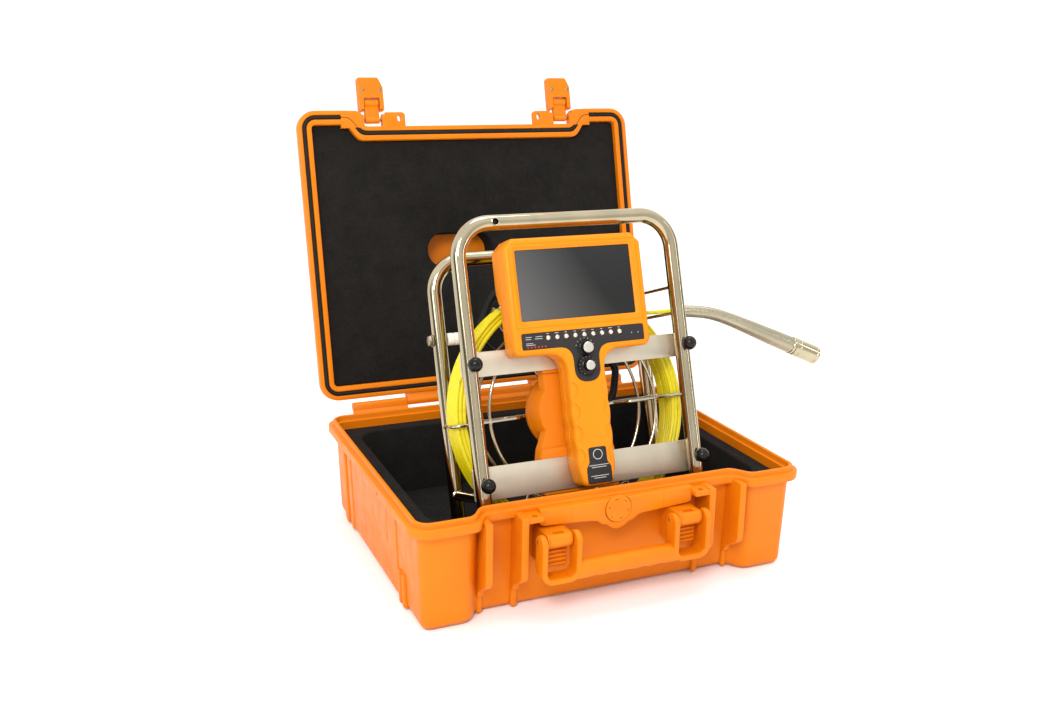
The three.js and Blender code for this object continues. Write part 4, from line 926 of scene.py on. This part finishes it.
BALL_R = 9
for name, u, s in BALLS:
    ball = [(0.2, -BALL_R)] + [(BALL_R * math.sin(a), -BALL_R * math.cos(a))
                               for a in (math.radians(8 + 8.2 * k) for k in range(18))]
    ball += [(5.4, BALL_R * 0.86), (5.4, BALL_R + 1.1), (4.8, BALL_R + 1.4), (3, BALL_R + 1.4),
             (3, BALL_R + 26),
             (2.4, BALL_R + 26.6)]
    knob = turned(ball, (u, -TUBE_R - 1.2 - BALL_R, s), (0, 1, 0), 40)
    piece(f"ball_grip_{name}", knob, f"ball_knob_{name}", KNOB_BLACK, RACK,
          [f"ball_knob_{name}"])

BRAKE_S = 185
bolt_end = -HOOP_HALF - TUBE_R
hexagon = [(7 * math.cos(math.radians(60 * k)),
            BRAKE_S + 7 * math.sin(math.radians(60 * k))) for k in range(6)]
head = slab([(HOOP_GAP + p, q) for p, q in fillet(hexagon, 0.8, 3)], bolt_end - 5.8,
            bolt_end - 1.2, 0.9, "x")
head.add(turned([(4, -1.3), (7.4, -1.3), (7.8, -1), (7.8, -0.3), (7.4, 0.2), (4, 0.2)],
                (bolt_end, HOOP_GAP, BRAKE_S), (1, 0, 0), 36))
head.add(pin((bolt_end - 3, HOOP_GAP, BRAKE_S), (-HOOP_HALF + 32, HOOP_GAP, BRAKE_S), 3, 0.5, 24))
piece("brake_screw", head, "brake", PIN_STEEL, RACK, ["brake_bolt"])
bush = turned([(3.2, 0), (7.4, 0), (8, 0.7), (8, 7.6), (6.8, 8.3), (6.8, 9.4), (8, 10.1), (8, 17.9),
               (7.4, 18.6),
               (3.2, 18.6)], (-HOOP_HALF + TUBE_R + 0.4, HOOP_GAP, BRAKE_S), (1, 0, 0), 40, wrap=True)
piece("brake_roller", bush, "brake", NYLON, RACK, ["brake_bush"])


# ---- Reel, about an axis at (0, y, REEL_S) ----
HUB_R, COVER_U = 48, -10.5


def hub_housing():
    """The reel's fixed cover: two waisted arms, a ledge above the lower plate and a drafted drum."""
    edge = [(55, -20), (54, 24), (51.5, 36), (47.5, 44), (44.5, 52), (40, 62), (36, 96), (38, 116),
            (37.5, 129), (40, 142)]

    def outline(low, high, draw=0.0):
        right = [(half - draw, s) for half, s in edge if low <= s <= high]
        points = [(COVER_U + u, s) for u, s in mirrored(right)]
        return fillet(points, [2] + [14] * (len(right) - 2) + [2, 2] + [14] * (len(right) - 2) + [2], 5)

    def drafted(low, high, levels):
        return shell([[(u, y, s) for u, s in outline(low, high, draw)] for draw, y in levels])

    arms = drafted(-20, 142, [(5.6, 17), (3.9, 17.5), (3, 19), (0.7, 28.4), (1.3, 29.6), (2.4, 30)])
    foot = drafted(-20, 36, [(5.2, 12.8), (3.9, 13.2), (3.2, 14.4), (2, 19)])
    top = box(COVER_U - 36, COVER_U + 36, 12.8, 19, 128, 142, 1.5, "y")
    drum = turned([(0.1, 17.2), (42, 17.2), (43.8, 17.6), (44.8, 19), (48.9, 43.2), (48.4, 44), (48.4, 45.2),
                   (49.2, 46), (49.2, 52.2), (48.4, 53), (45.5, 53), (43, 21.6), (0.1, 21.6)],
                  (COVER_U, 0, REEL_S), (0, 1, 0), 96, wrap=True)
    return joined(arms, foot, top, drum)


piece("hub_cover", hub_housing(), "rack", ORANGE, RACK, ["hub_housing"], 35)


def washer(name, inner, outer, y0, y1, body, material, node, edge=0.8, sides=48):
    profile = [(inner, y0), (outer - edge, y0), (outer, y0 + edge), (outer, y1 - edge), (outer - edge, y1),
               (inner, y1)]
    piece(name, turned(profile, (0, 0, REEL_S), (0, 1, 0), sides, wrap=True), body, material, RACK,
          [node])


washer("slip_ring_body", 6.4, 17, 22, 53, "rack", KNOB_BLACK, "slip_ring")
washer("axle_hex_nut", 6.3, 10.5, 83, 91, "rack", PIN_STEEL, "axle_nut", 0.8, 6)
piece("axle_bar", pin((0, 14, REEL_S), (0, 92, REEL_S), 6, 0.6, 32), "rack", STEEL, RACK,
      ["reel_axle"])

hub_profile = [(6.5, 53.9), (20, 53.9), (21, 56), (41, 56), (43, 54.4), (46.6, 54), (48, 55.6), (48, 66),
               (47.3, 66.7),
               (47.3, 68.2), (48, 69), (48, 80.4), (46, 82), (42, 81.6), (40, 80), (22, 80), (20, 82),
               (6.5, 82)]
hub = turned(hub_profile, (0, 0, REEL_S), (0, 1, 0), 72, wrap=True)
piece("reel_drum", hub, "reel", ORANGE, RACK, ["reel_hub"])

WIRE_R, FLANGE_R, RING_R, FINGER, SPOKE_TURN = 2.25, 160.2, 115, 15, 1.3
FLANGE_FRONT, FLANGE_BACK = 33, 79


def wire_flange(y, inwards):
    """A ring, and six spokes whose outer ends turn over the rod like fingers."""
    ring = turned([(RING_R + 2.05 * math.cos(a), 2.05 * math.sin(a)) for a in
                   (2 * math.pi * k / 14 for k in range(14))], (0, y, REEL_S), (0, 1, 0), 120, wrap=True)
    for k in range(6):
        a = math.radians(SPOKE_TURN + 60 * k)

        def at(r, depth):
            return (r * math.cos(a), depth, REEL_S + r * math.sin(a))

        root = 63.5 - inwards * 7
        line = [at(HUB_R - 0.5, root), at(66, root), at(78, y), at(FLANGE_R, y),
                at(FLANGE_R, y + inwards * FINGER)]
        ring.add(tube(bent(line, 7, 7), WIRE_R, 16))
        ring.add(turned([(1.2, 0), (WIRE_R, -0.9), (WIRE_R, 0), (1.2, 0.9)],
                        at(FLANGE_R, y + inwards * FINGER),
                        (0, 1, 0), 16, wrap=True))
        for s in (-1, 1):
            spot = Vector(at(RING_R, y - inwards * 0.4)) + Vector((-math.sin(a), 0, math.cos(a))) * (s * 2.2)
            ring.add(turned([(0.3, -2.2), (1.6, -1.6), (2, 0), (1.6, 1.6), (0.3, 2.2)], spot,
                            (math.cos(a), 0, math.sin(a)), 12))
        if inwards > 0:
            ring.add(pin(at(WIND_IN - 4.5, y), at(WIND_IN - 4.5, FLANGE_BACK), 2, 0.3, 16))
    return ring


piece("reel_front_wires", wire_flange(FLANGE_FRONT, 1), "reel", WIRE, RACK,
      ["reel_front_flange"], 50)
piece("reel_rear_wires", wire_flange(FLANGE_BACK, -1), "reel", WIRE, RACK,
      ["reel_rear_flange"], 50)


def winding():
    """The push rod on its reel: turn beside turn in three layers, each a little out of true."""
    draw = random.Random(11)
    coil = Shape()
    width = 2 * ROD_R
    across = Vector((0, 1, 0))
    for layer in range(3):
        radius = WIND_OUT - ROD_R - layer * (width - 0.35)
        for turn in range(7):
            y = 38 + ROD_R + turn * (74 - 38 - width) / 6
            phase, wave = draw.uniform(0, 6.28), draw.uniform(0.3, 0.9)
            drift, lift = draw.uniform(0, 6.28), draw.uniform(0.1, 0.5)
            rings = []
            for k in range(150):
                a = 2 * math.pi * k / 150
                r = radius - lift * (1 + math.sin(3 * a + drift)) * 0.5
                here_y = y + wave * math.sin(2 * a + phase) + 0.35 * math.sin(5 * a + drift)
                radial = Vector((math.cos(a), 0, math.sin(a)))
                centre = Vector((0, here_y, REEL_S)) + radial * r
                rings.append([centre + (radial * math.cos(b) + across * math.sin(b)) * (ROD_R + 0.12)
                              for b in (2 * math.pi * j / 10 for j in range(10))])
            coil.add(shell(rings, wrap=True))
    return coil


piece("rod_coil", winding(), "reel", ROD_YELLOW, RACK, ["rod_winding"], 60)

# ---- The rod's free end: last turn, tail, spring and camera head ----
TAIL_Y = 55
lift_off = [((WIND_OUT + ROD_R + 0.6) * math.cos(a), TAIL_Y, REEL_S + (WIND_OUT + ROD_R + 0.6) * math.sin(a))
            for a in (math.radians(92 - 6 * k) for k in range(7))]
tail_points = lift_off + [(115, TAIL_Y, 196.2), (130, TAIL_Y, 193.8), (145, TAIL_Y, 193.4),
                          (160, TAIL_Y, 193.6),
                          (178, TAIL_Y, 193)]
piece("rod_end", tube(spline(tail_points, 6), ROD_R, 16), "rack", ROD_YELLOW, RACK,
      ["rod_tail"], 60)

SPRING = [(176.4, 193, 8), (189, 191.4, 8.1), (204, 189.6, 8.2), (220, 187, 8.3), (238, 182, 8.5),
          (257, 174.5, 8.9),
          (277, 165.5, 9.6), (299, 155.2, 10.4), (324, 143.5, 11.2), (352, 130.5, 11.7)]


def flex_spring():
    """A close-wound spring: every coil shows as a fine ridge."""
    line = spline([(x, TAIL_Y, z) for x, z, _ in SPRING], 60)
    radii = [Vector((r, 0, 0)) for _, _, r in SPRING]
    swell = [v.x for v in spline(radii, 60)]
    wire, travelled, sizes = 2.0, 0, []
    for k, point in enumerate(line):
        if k:
            travelled += (point - line[k - 1]).length
        sizes.append(swell[k] - 0.34 * (0.5 + 0.5 * math.cos(2 * math.pi * travelled / wire)) ** 2)
    body = tube(line, sizes, 36)
    collar = turned([(5.5, -1.6), (7.7, -1.6), (8.5, -0.8), (8.7, 7), (8.2, 8)],
                    (SPRING[0][0], TAIL_Y, SPRING[0][1]),
                    (line[8] - line[0]), 40)
    return body.add(collar)


piece("spring_coil", flex_spring(), "rack", SPRING_STEEL, RACK, ["flex_spring"], 70)

spring_end = Vector((SPRING[-1][0], TAIL_Y, SPRING[-1][1]))
aim = (spring_end - Vector((SPRING[-3][0], TAIL_Y, SPRING[-3][1]))).normalized()
HEAD_LENGTH, HEAD_R = 43, 12.7
head_profile = [(9, -2), (11.9, -2), (12.3, -1.4), (12.3, 0.8), (11.6, 1.4), (11.6, 2.2), (12.5, 2.9),
                (HEAD_R, 3.8),
                (HEAD_R, 9), (HEAD_R - 0.25, 9.3), (HEAD_R - 0.25, 10), (HEAD_R, 10.3),
                (HEAD_R, HEAD_LENGTH - 6),
                (HEAD_R - 0.25, HEAD_LENGTH - 5.7), (HEAD_R - 0.25, HEAD_LENGTH - 5.1),
                (HEAD_R, HEAD_LENGTH - 4.8),
                (HEAD_R, HEAD_LENGTH - 1.2), (HEAD_R - 1, HEAD_LENGTH), (10.5, HEAD_LENGTH),
                (10, HEAD_LENGTH - 0.5),
                (10, HEAD_LENGTH - 3), (0.1, HEAD_LENGTH - 3)]
piece("head_body", turned(head_profile, spring_end, aim, 56), "rack", HEAD_STEEL, RACK,
      ["camera_head"], 30)
LENS_R = 9.7
lens = [(LENS_R, HEAD_LENGTH - 4), (LENS_R, HEAD_LENGTH - 1.4)]
lens += [(LENS_R * math.cos(a), HEAD_LENGTH - 1.4 + 0.7 * math.sin(a))
         for a in (math.radians(15 * k) for k in range(1, 6))]
lens += [(0.2, HEAD_LENGTH - 0.7)]
piece("head_window", turned(lens, spring_end, aim, 40), "rack", LENS_GLASS, RACK,
      ["camera_window"])


# ---- Handset ----
HAND_W, HAND_LOW, HAND_HIGH, GRIP_END = 184, 150, 292, -14


def handset_outline():
    half, neck, grip = HAND_W / 2, 25, 26
    right = [(0, GRIP_END), (12, GRIP_END)] + quadratic((12, GRIP_END), (22, GRIP_END), (22.6, GRIP_END + 12))
    for s in (16, 45, 74):
        bulge = [(grip - 2.2 + (s / 60) + 1.3 * math.sin(math.pi * k / 6),
                  s - 12 + 26 * k / 6) for k in range(7)]
        right += bulge
    right += [(grip, 98), (neck, 128)]
    right += quadratic((neck, 128), (neck + 2, HAND_LOW), (neck + 24, HAND_LOW), 10)
    right += quadratic((half - 12, HAND_LOW), (half, HAND_LOW), (half, HAND_LOW + 12))
    right += [(half, HAND_HIGH - 12), (half - 12, HAND_HIGH)]
    return [(HAND_U + u, s) for u, s in mirrored(right)][1:]


SPLIT_Y = -6
EDGE_R = 5.5
FINGER_REST_S = (23, 51, 78, 104)
SCREEN_U, SCREEN_S, SCREEN_W, SCREEN_H = -4.7, 234.5, 154, 86


def handset_front():
    outline = handset_outline()
    turns = [math.pi / 2 * k / 6 for k in range(7)]
    levels = [(0.6, SPLIT_Y - 0.35), (0, SPLIT_Y - 0.9)]
    levels += [(EDGE_R * (1 - math.cos(a)), HAND_FACE + EDGE_R * (1 - math.sin(a))) for a in turns]
    body = shell([[(u, y, s) for u, s in drawn_in(outline, draw)] for draw, y in levels])
    w, h = SCREEN_W / 2, SCREEN_H / 2
    rect = fillet([(SCREEN_U - w, SCREEN_S - h), (SCREEN_U + w, SCREEN_S - h), (SCREEN_U + w, SCREEN_S + h),
                   (SCREEN_U - w, SCREEN_S + h)], 2, 4)
    window = shell([[(u, HAND_FACE + depth, s) for u, s in drawn_in(rect, draw)] for draw, depth in
                    ((-4.4, -0.8), (-3.4, 0.1), (-2.4, 0.9), (0, 2.0), (0, 5.2))])
    groove = fillet([(SCREEN_U - w - 9, SCREEN_S - h - 8.5), (SCREEN_U + w + 9, SCREEN_S - h - 8.5),
                     (SCREEN_U + w + 9, SCREEN_S + h + 7.5), (SCREEN_U - w - 9, SCREEN_S + h + 7.5)], 2, 4)
    frame_line = shell([[(u, HAND_FACE + depth, s) for u, s in drawn_in(groove, draw)] for draw, depth in
                        ((0, -1), (0, 0.45), (1.1, 0.45), (1.1, -1))], wrap=True)
    recess = slab(panel_outline(0.5), HAND_FACE - 1, HAND_FACE + 1.2, 0.1, "y")
    rests = [turned([(11.6, -1), (11.2, 0.5), (10.6, 1.3), (0.1, 1.3), (0.1, -1)],
                    (HAND_U + side * 26.5, HAND_FACE, s), (0, 1, 0), 56, wrap=True)
             for side in (-1, 1) for s in FINGER_REST_S]
    return cut(body, window, frame_line, recess, *rests)


def panel_outline(clear):
    half, low, high, stem, tip = 82 + clear, 157.5 - clear, 177 + clear, 17 + clear, 113 - clear
    right = quadratic((0, tip), (stem, tip), (stem, tip + 17), 10) + [(stem, low - 18)]
    right += quadratic((stem, low - 18), (stem, low), (stem + 18, low), 8)
    right += quadratic((half - 3, low), (half, low), (half, low + 3), 4)
    right += quadratic((half, high - 3), (half, high), (half - 3, high), 4)
    return [(PANEL_U, tip)] + [(PANEL_U + u, s) for u, s in mirrored(right)]


piece("handset_face", handset_front(), "rack", HANDSET, RACK, ["handset_front"], 38)


def handset_rear():
    """The rear shell, deeper behind the screen than behind the controls."""
    turns = [math.pi / 2 * k / 4 for k in range(5)]
    levels = [(0.6, SPLIT_Y + 0.15), (0, SPLIT_Y + 0.7)]
    levels += [(4 * (1 - math.cos(a)), HAND_BACK - 4 * (1 - math.sin(a))) for a in turns]
    low = shell([[(u, y, s) for u, s in drawn_in(handset_outline(), draw)] for draw, y in levels])
    half = HAND_W / 2
    cheek = HAND_HIGH - 12
    rings = []
    for draw, depth, foot in ((0, 0, 214), (0, 11, 216), (0, 17, 228), (0.9, 19.6, 232.5), (2.8, 21, 235)):
        corners = [(HAND_U - half + draw, foot), (HAND_U + half - draw, foot), (HAND_U + half - draw, cheek),
                   (HAND_U + half - 12, HAND_HIGH - draw), (HAND_U - half + 12, HAND_HIGH - draw),
                   (HAND_U - half + draw, cheek)]
        rings.append([(u, depth, s) for u, s in fillet(corners, [2, 2, 3, 3, 3, 3], 4)])
    return joined(low, shell(rings))


piece("handset_back", handset_rear(), "rack", HANDSET, RACK, ["handset_rear"], 38)
glass = box(SCREEN_U - SCREEN_W / 2, SCREEN_U + SCREEN_W / 2, HAND_FACE + 3.2, HAND_FACE + 4.6,
            SCREEN_S - SCREEN_H / 2, SCREEN_S + SCREEN_H / 2, 0.3, "y", 1.5)
piece("screen_pane", glass, "rack", SCREEN_GLASS, RACK, ["screen_glass"])

button_places = [PANEL_U + (k - 4) * BUTTON_STEP for k in range(9)]
panel_holes = [turned([(3.5, -3), (3.5, 3)], (u, HAND_FACE, BUTTON_S), (0, 1, 0), 24) for u in button_places]
panel = slab(panel_outline(0), HAND_FACE + 0.1, HAND_FACE + 0.9, 0.2, "y")
piece("panel_label", cut(panel, *panel_holes), "rack", PANEL_FILM, RACK, ["control_panel"])
for index, u in enumerate(button_places):
    dome = [(0.1, -2.9), (1.2, -2.8), (2.2, -2.35), (2.8, -1.7), (3, -0.9), (3, 8.6), (0.1, 8.6)]
    piece(f"button_cap_{index + 1}", turned(dome, (u, HAND_FACE, BUTTON_S), (0, 1, 0), 28),
          f"button_{index + 1}",
          DIAL_SILVER, RACK, [f"button_{index + 1}"])


def dial(radius, skirt, tall, cap):
    """A black skirt and a ribbed body, with a place for a silver cap."""
    rings = []
    body = cap + 1.4
    for r, y in ((3, 0), (radius - 0.6, 0), (radius, -0.6), (radius, -skirt + 0.8), (radius - 0.8, -skirt),
                 (body + 1.2, -skirt - 0.5), (body, -skirt - 1.4), (body - 0.4, -tall + 0.6),
                 (body - 0.9, -tall)):
        ring = []
        for k in range(96):
            a = 2 * math.pi * k / 96
            rib = 0.4 * (k % 4 < 2) if body - 1 < r < body + 0.5 else 0
            ring.append((math.cos(a) * (r - rib), y, math.sin(a) * (r - rib)))
        rings.append(ring)
    return shell(rings)


DIALS = (("upper", -3.5, 154, 10, 1.6, 8.6, 6.4), ("lower", -4.5, 132, 12.2, 4.2, 11.4, 5.6))
for name, u, s, radius, skirt, tall, cap in DIALS:
    at = Matrix.Translation((u, HAND_FACE - 0.4, s))
    piece(f"dial_{name}_body", dial(radius, skirt, tall, cap).moved(at), f"dial_{name}",
          KNOB_BLACK,
          RACK, [f"knob_{name}"], 30)
    top = turned([(cap, 0.4), (cap + 0.2, 0), (cap + 0.2, -1.4), (cap - 0.5, -2.1), (0.2, -2.3)],
                 (0, -tall, 0), (0, 1, 0), 48)
    piece(f"dial_{name}_cap", top.moved(at), f"dial_{name}", DIAL_SILVER, RACK)
    ticks = Shape()
    for k in range(11):
        turn = Matrix.Rotation(math.radians(-150 + 24 * k), 4, "Y")
        ticks.add(box(-0.25, 0.25, -skirt - 0.12, -skirt + 0.3, radius - 2.9, radius - 1.1, 0.05,
                      "y").moved(at @ turn))
    piece(f"dial_{name}_ticks", ticks, f"dial_{name}", PRINT, RACK)




def marks():
    """Plain ticks and dashes on the panel: scales round the dials and bars over the buttons."""
    strokes = Shape()

    def stroke(u, s, width, height, turn=0.0):
        at = Matrix.Translation((u, HAND_FACE + 0.02, s)) @ Matrix.Rotation(turn, 4, "Y")
        strokes.add(box(-width / 2, width / 2, -0.06, 0.12, -height / 2, height / 2, 0.04, "y").moved(at))

    for k in range(7):
        a = math.radians(18 + 24 * k)
        stroke(-3.5 - 12 * math.cos(a), 154 + 12 * math.sin(a), 1.5, 0.5, a)
    for k, u in enumerate(button_places):
        stroke(u, BUTTON_S + 5.2, 3 + 2 * (k % 3 == 1), 0.6)
    for s, lengths in ((172.5, (8, 9)), (170, (7, 10)), (165, (9,)), (163, (12,))):
        start = -80
        for length in lengths:
            stroke(start + length / 2, s, length, 0.55)
            start += length + 5
    for u in (62, 71):
        stroke(u, 167, 1.0, 1.0)
    return strokes


piece("panel_marks", marks(), "rack", PRINT, RACK)
spots = Shape()
for k in range(6):
    spots.add(box(-79 + 4.6 * k, -77 + 4.6 * k, HAND_FACE - 0.04, HAND_FACE + 0.15, 159.4, 161.2, 0.06, "y"))
piece("panel_spots", spots, "rack", PRINT_RED, RACK)


def grip_label():
    right = [(16.5, -11), (16.5, 8), (12, 15), (12, 33)]
    outline = fillet([(HAND_U + 1 + u, s) for u, s in mirrored(right)], [3, 5, 5, 3, 3, 5, 5, 3], 5)
    return slab(outline, HAND_FACE - 0.35, HAND_FACE + 0.3, 0.15, "y")


piece("grip_plate", grip_label(), "rack", PANEL_FILM, RACK)
bars = turned([(5.6, -0.06), (6.3, -0.06), (6.3, 0.06), (5.6, 0.06)], (HAND_U + 1, HAND_FACE - 0.35, 24),
              (0, 1, 0),
              40, wrap=True)
for s, width in ((11, 26), (8.5, 20), (-2, 24), (-4.5, 16)):
    bars.add(box(HAND_U + 1 - width / 2, HAND_U + 1 + width / 2, HAND_FACE - 0.42, HAND_FACE - 0.3, s - 0.35,
                 s + 0.35,
                 0.05, "y"))
piece("grip_marks", bars, "rack", PRINT, RACK)

# ---- Signal cable: from the handset's back, behind the reel, into the end of the axle ----
CABLE_ROUTE = [
    (-60, 21.9, 250), (-60, 32, 250), (-62, 45, 249), (-66, 60, 246), (-71, 74, 240), (-77, 86, 229),
    (-84, 93, 213), (-91, 97, 196), (-90, 98, 180), (-80, 98, 166), (-62, 97, 155), (-40, 96, 149),
    (-15, 96, 147), (12, 96, 146), (40, 96, 147), (64, 96, 147), (83, 96, 141), (94, 96, 126),
    (92, 97, 107), (87, 99, 89), (75, 103, 77), (57, 109, 71), (37, 117, 70.5), (18, 124, 74),
    (5, 122, 79), (0, 113, 79), (0, 103, 79), (0, 92.6, 79)]
cable_line = spline(CABLE_ROUTE, 6)
cable = piece("signal_lead", tube(cable_line, 5, 20), "rack", CABLE_BLACK, RACK,
              ["signal_cable"], 70)


# ---- Floor and light ----
def studio():
    floor = Nodes("studio_floor")
    tone = floor.mixed(floor.spread(floor.noise(2, 2), 0, 1), linear((250, 250, 250)),
                       linear((247, 247, 247)))
    floor.set(Base_Color=tone, Roughness=0.9)
    mesh = bpy.data.meshes.new("studio_floor")
    reach = 12.0
    mesh.from_pydata([(-reach, -reach, 0), (reach, -reach, 0), (reach, reach, 0), (-reach, reach, 0)], [],
                     [(0, 1, 2, 3)])
    mesh.materials.append(floor.material)
    ground = bpy.data.objects.new("studio_floor", mesh)
    bpy.context.scene.collection.objects.link(ground)
    world = bpy.data.worlds.new("studio")
    world.use_nodes = True
    tree = world.node_tree
    background = tree.nodes["Background"]
    split = tree.nodes.new("ShaderNodeSeparateXYZ")
    tree.links.new(tree.nodes.new("ShaderNodeTexCoord").outputs["Generated"], split.inputs[0])
    depth = tree.nodes.new("ShaderNodeMapRange")
    depth.inputs["From Min"].default_value = -1.0
    tree.links.new(split.outputs["Y"], depth.inputs["Value"])
    ramp = tree.nodes.new("ShaderNodeValToRGB")
    tree.links.new(depth.outputs["Result"], ramp.inputs["Fac"])
    stops = ramp.color_ramp.elements
    for place in (0.2, 0.38, 0.5):
        stops.new(place)
    for stop, (place, grey) in zip(stops, ((0.0, 0.8), (0.2, 0.45), (0.38, 0.1), (0.5, 0.25), (0.6, 1.0))):
        stop.position = place
        stop.color = (grey, grey * 0.97, grey * 0.93, 1)
    sky = tree.nodes.new("ShaderNodeMapRange")
    for key, number in (("From Min", 0.25), ("From Max", 0.75), ("To Min", 0.0), ("To Max", 1.0)):
        sky.inputs[key].default_value = number
    tree.links.new(split.outputs["Z"], sky.inputs["Value"])
    blend = tree.nodes.new("ShaderNodeMix")
    blend.data_type = "RGBA"
    tree.links.new(sky.outputs["Result"], blend.inputs[0])
    tree.links.new(ramp.outputs["Color"], blend.inputs[6])
    blend.inputs[7].default_value = (1, 1, 1, 1)
    tree.links.new(blend.outputs[2], background.inputs["Color"])
    background.inputs["Strength"].default_value = 1.3
    bpy.context.scene.world = world
    for name, place, width, height, power in (
        ("key", (-1.3, -2.0, 2.1), 0.9, 0.9, 46), ("fill", (-2.1, -1.4, 1.3), 0.7, 0.7, 5),
        ("top", (0.2, 0.4, 2.8), 1.2, 1.2, 18), ("strip_left", (-1.7, -1.5, 0.7), 0.12, 1.6, 2),
        ("strip_right", (1.9, -1.1, 0.8), 0.14, 1.6, 5),
    ):
        data = bpy.data.lights.new(name, "AREA")
        data.shape = "RECTANGLE"
        data.size, data.size_y = width, height
        data.energy = power
        light = bpy.data.objects.new(name, data)
        aim = Vector((0, 0, 0.2)) - Vector(place)
        light.matrix_world = Matrix.Translation(place) @ aim.to_track_quat("-Z", "Y").to_matrix().to_4x4()
        bpy.context.scene.collection.objects.link(light)
    bpy.context.scene.view_settings.view_transform = "Standard"


studio()
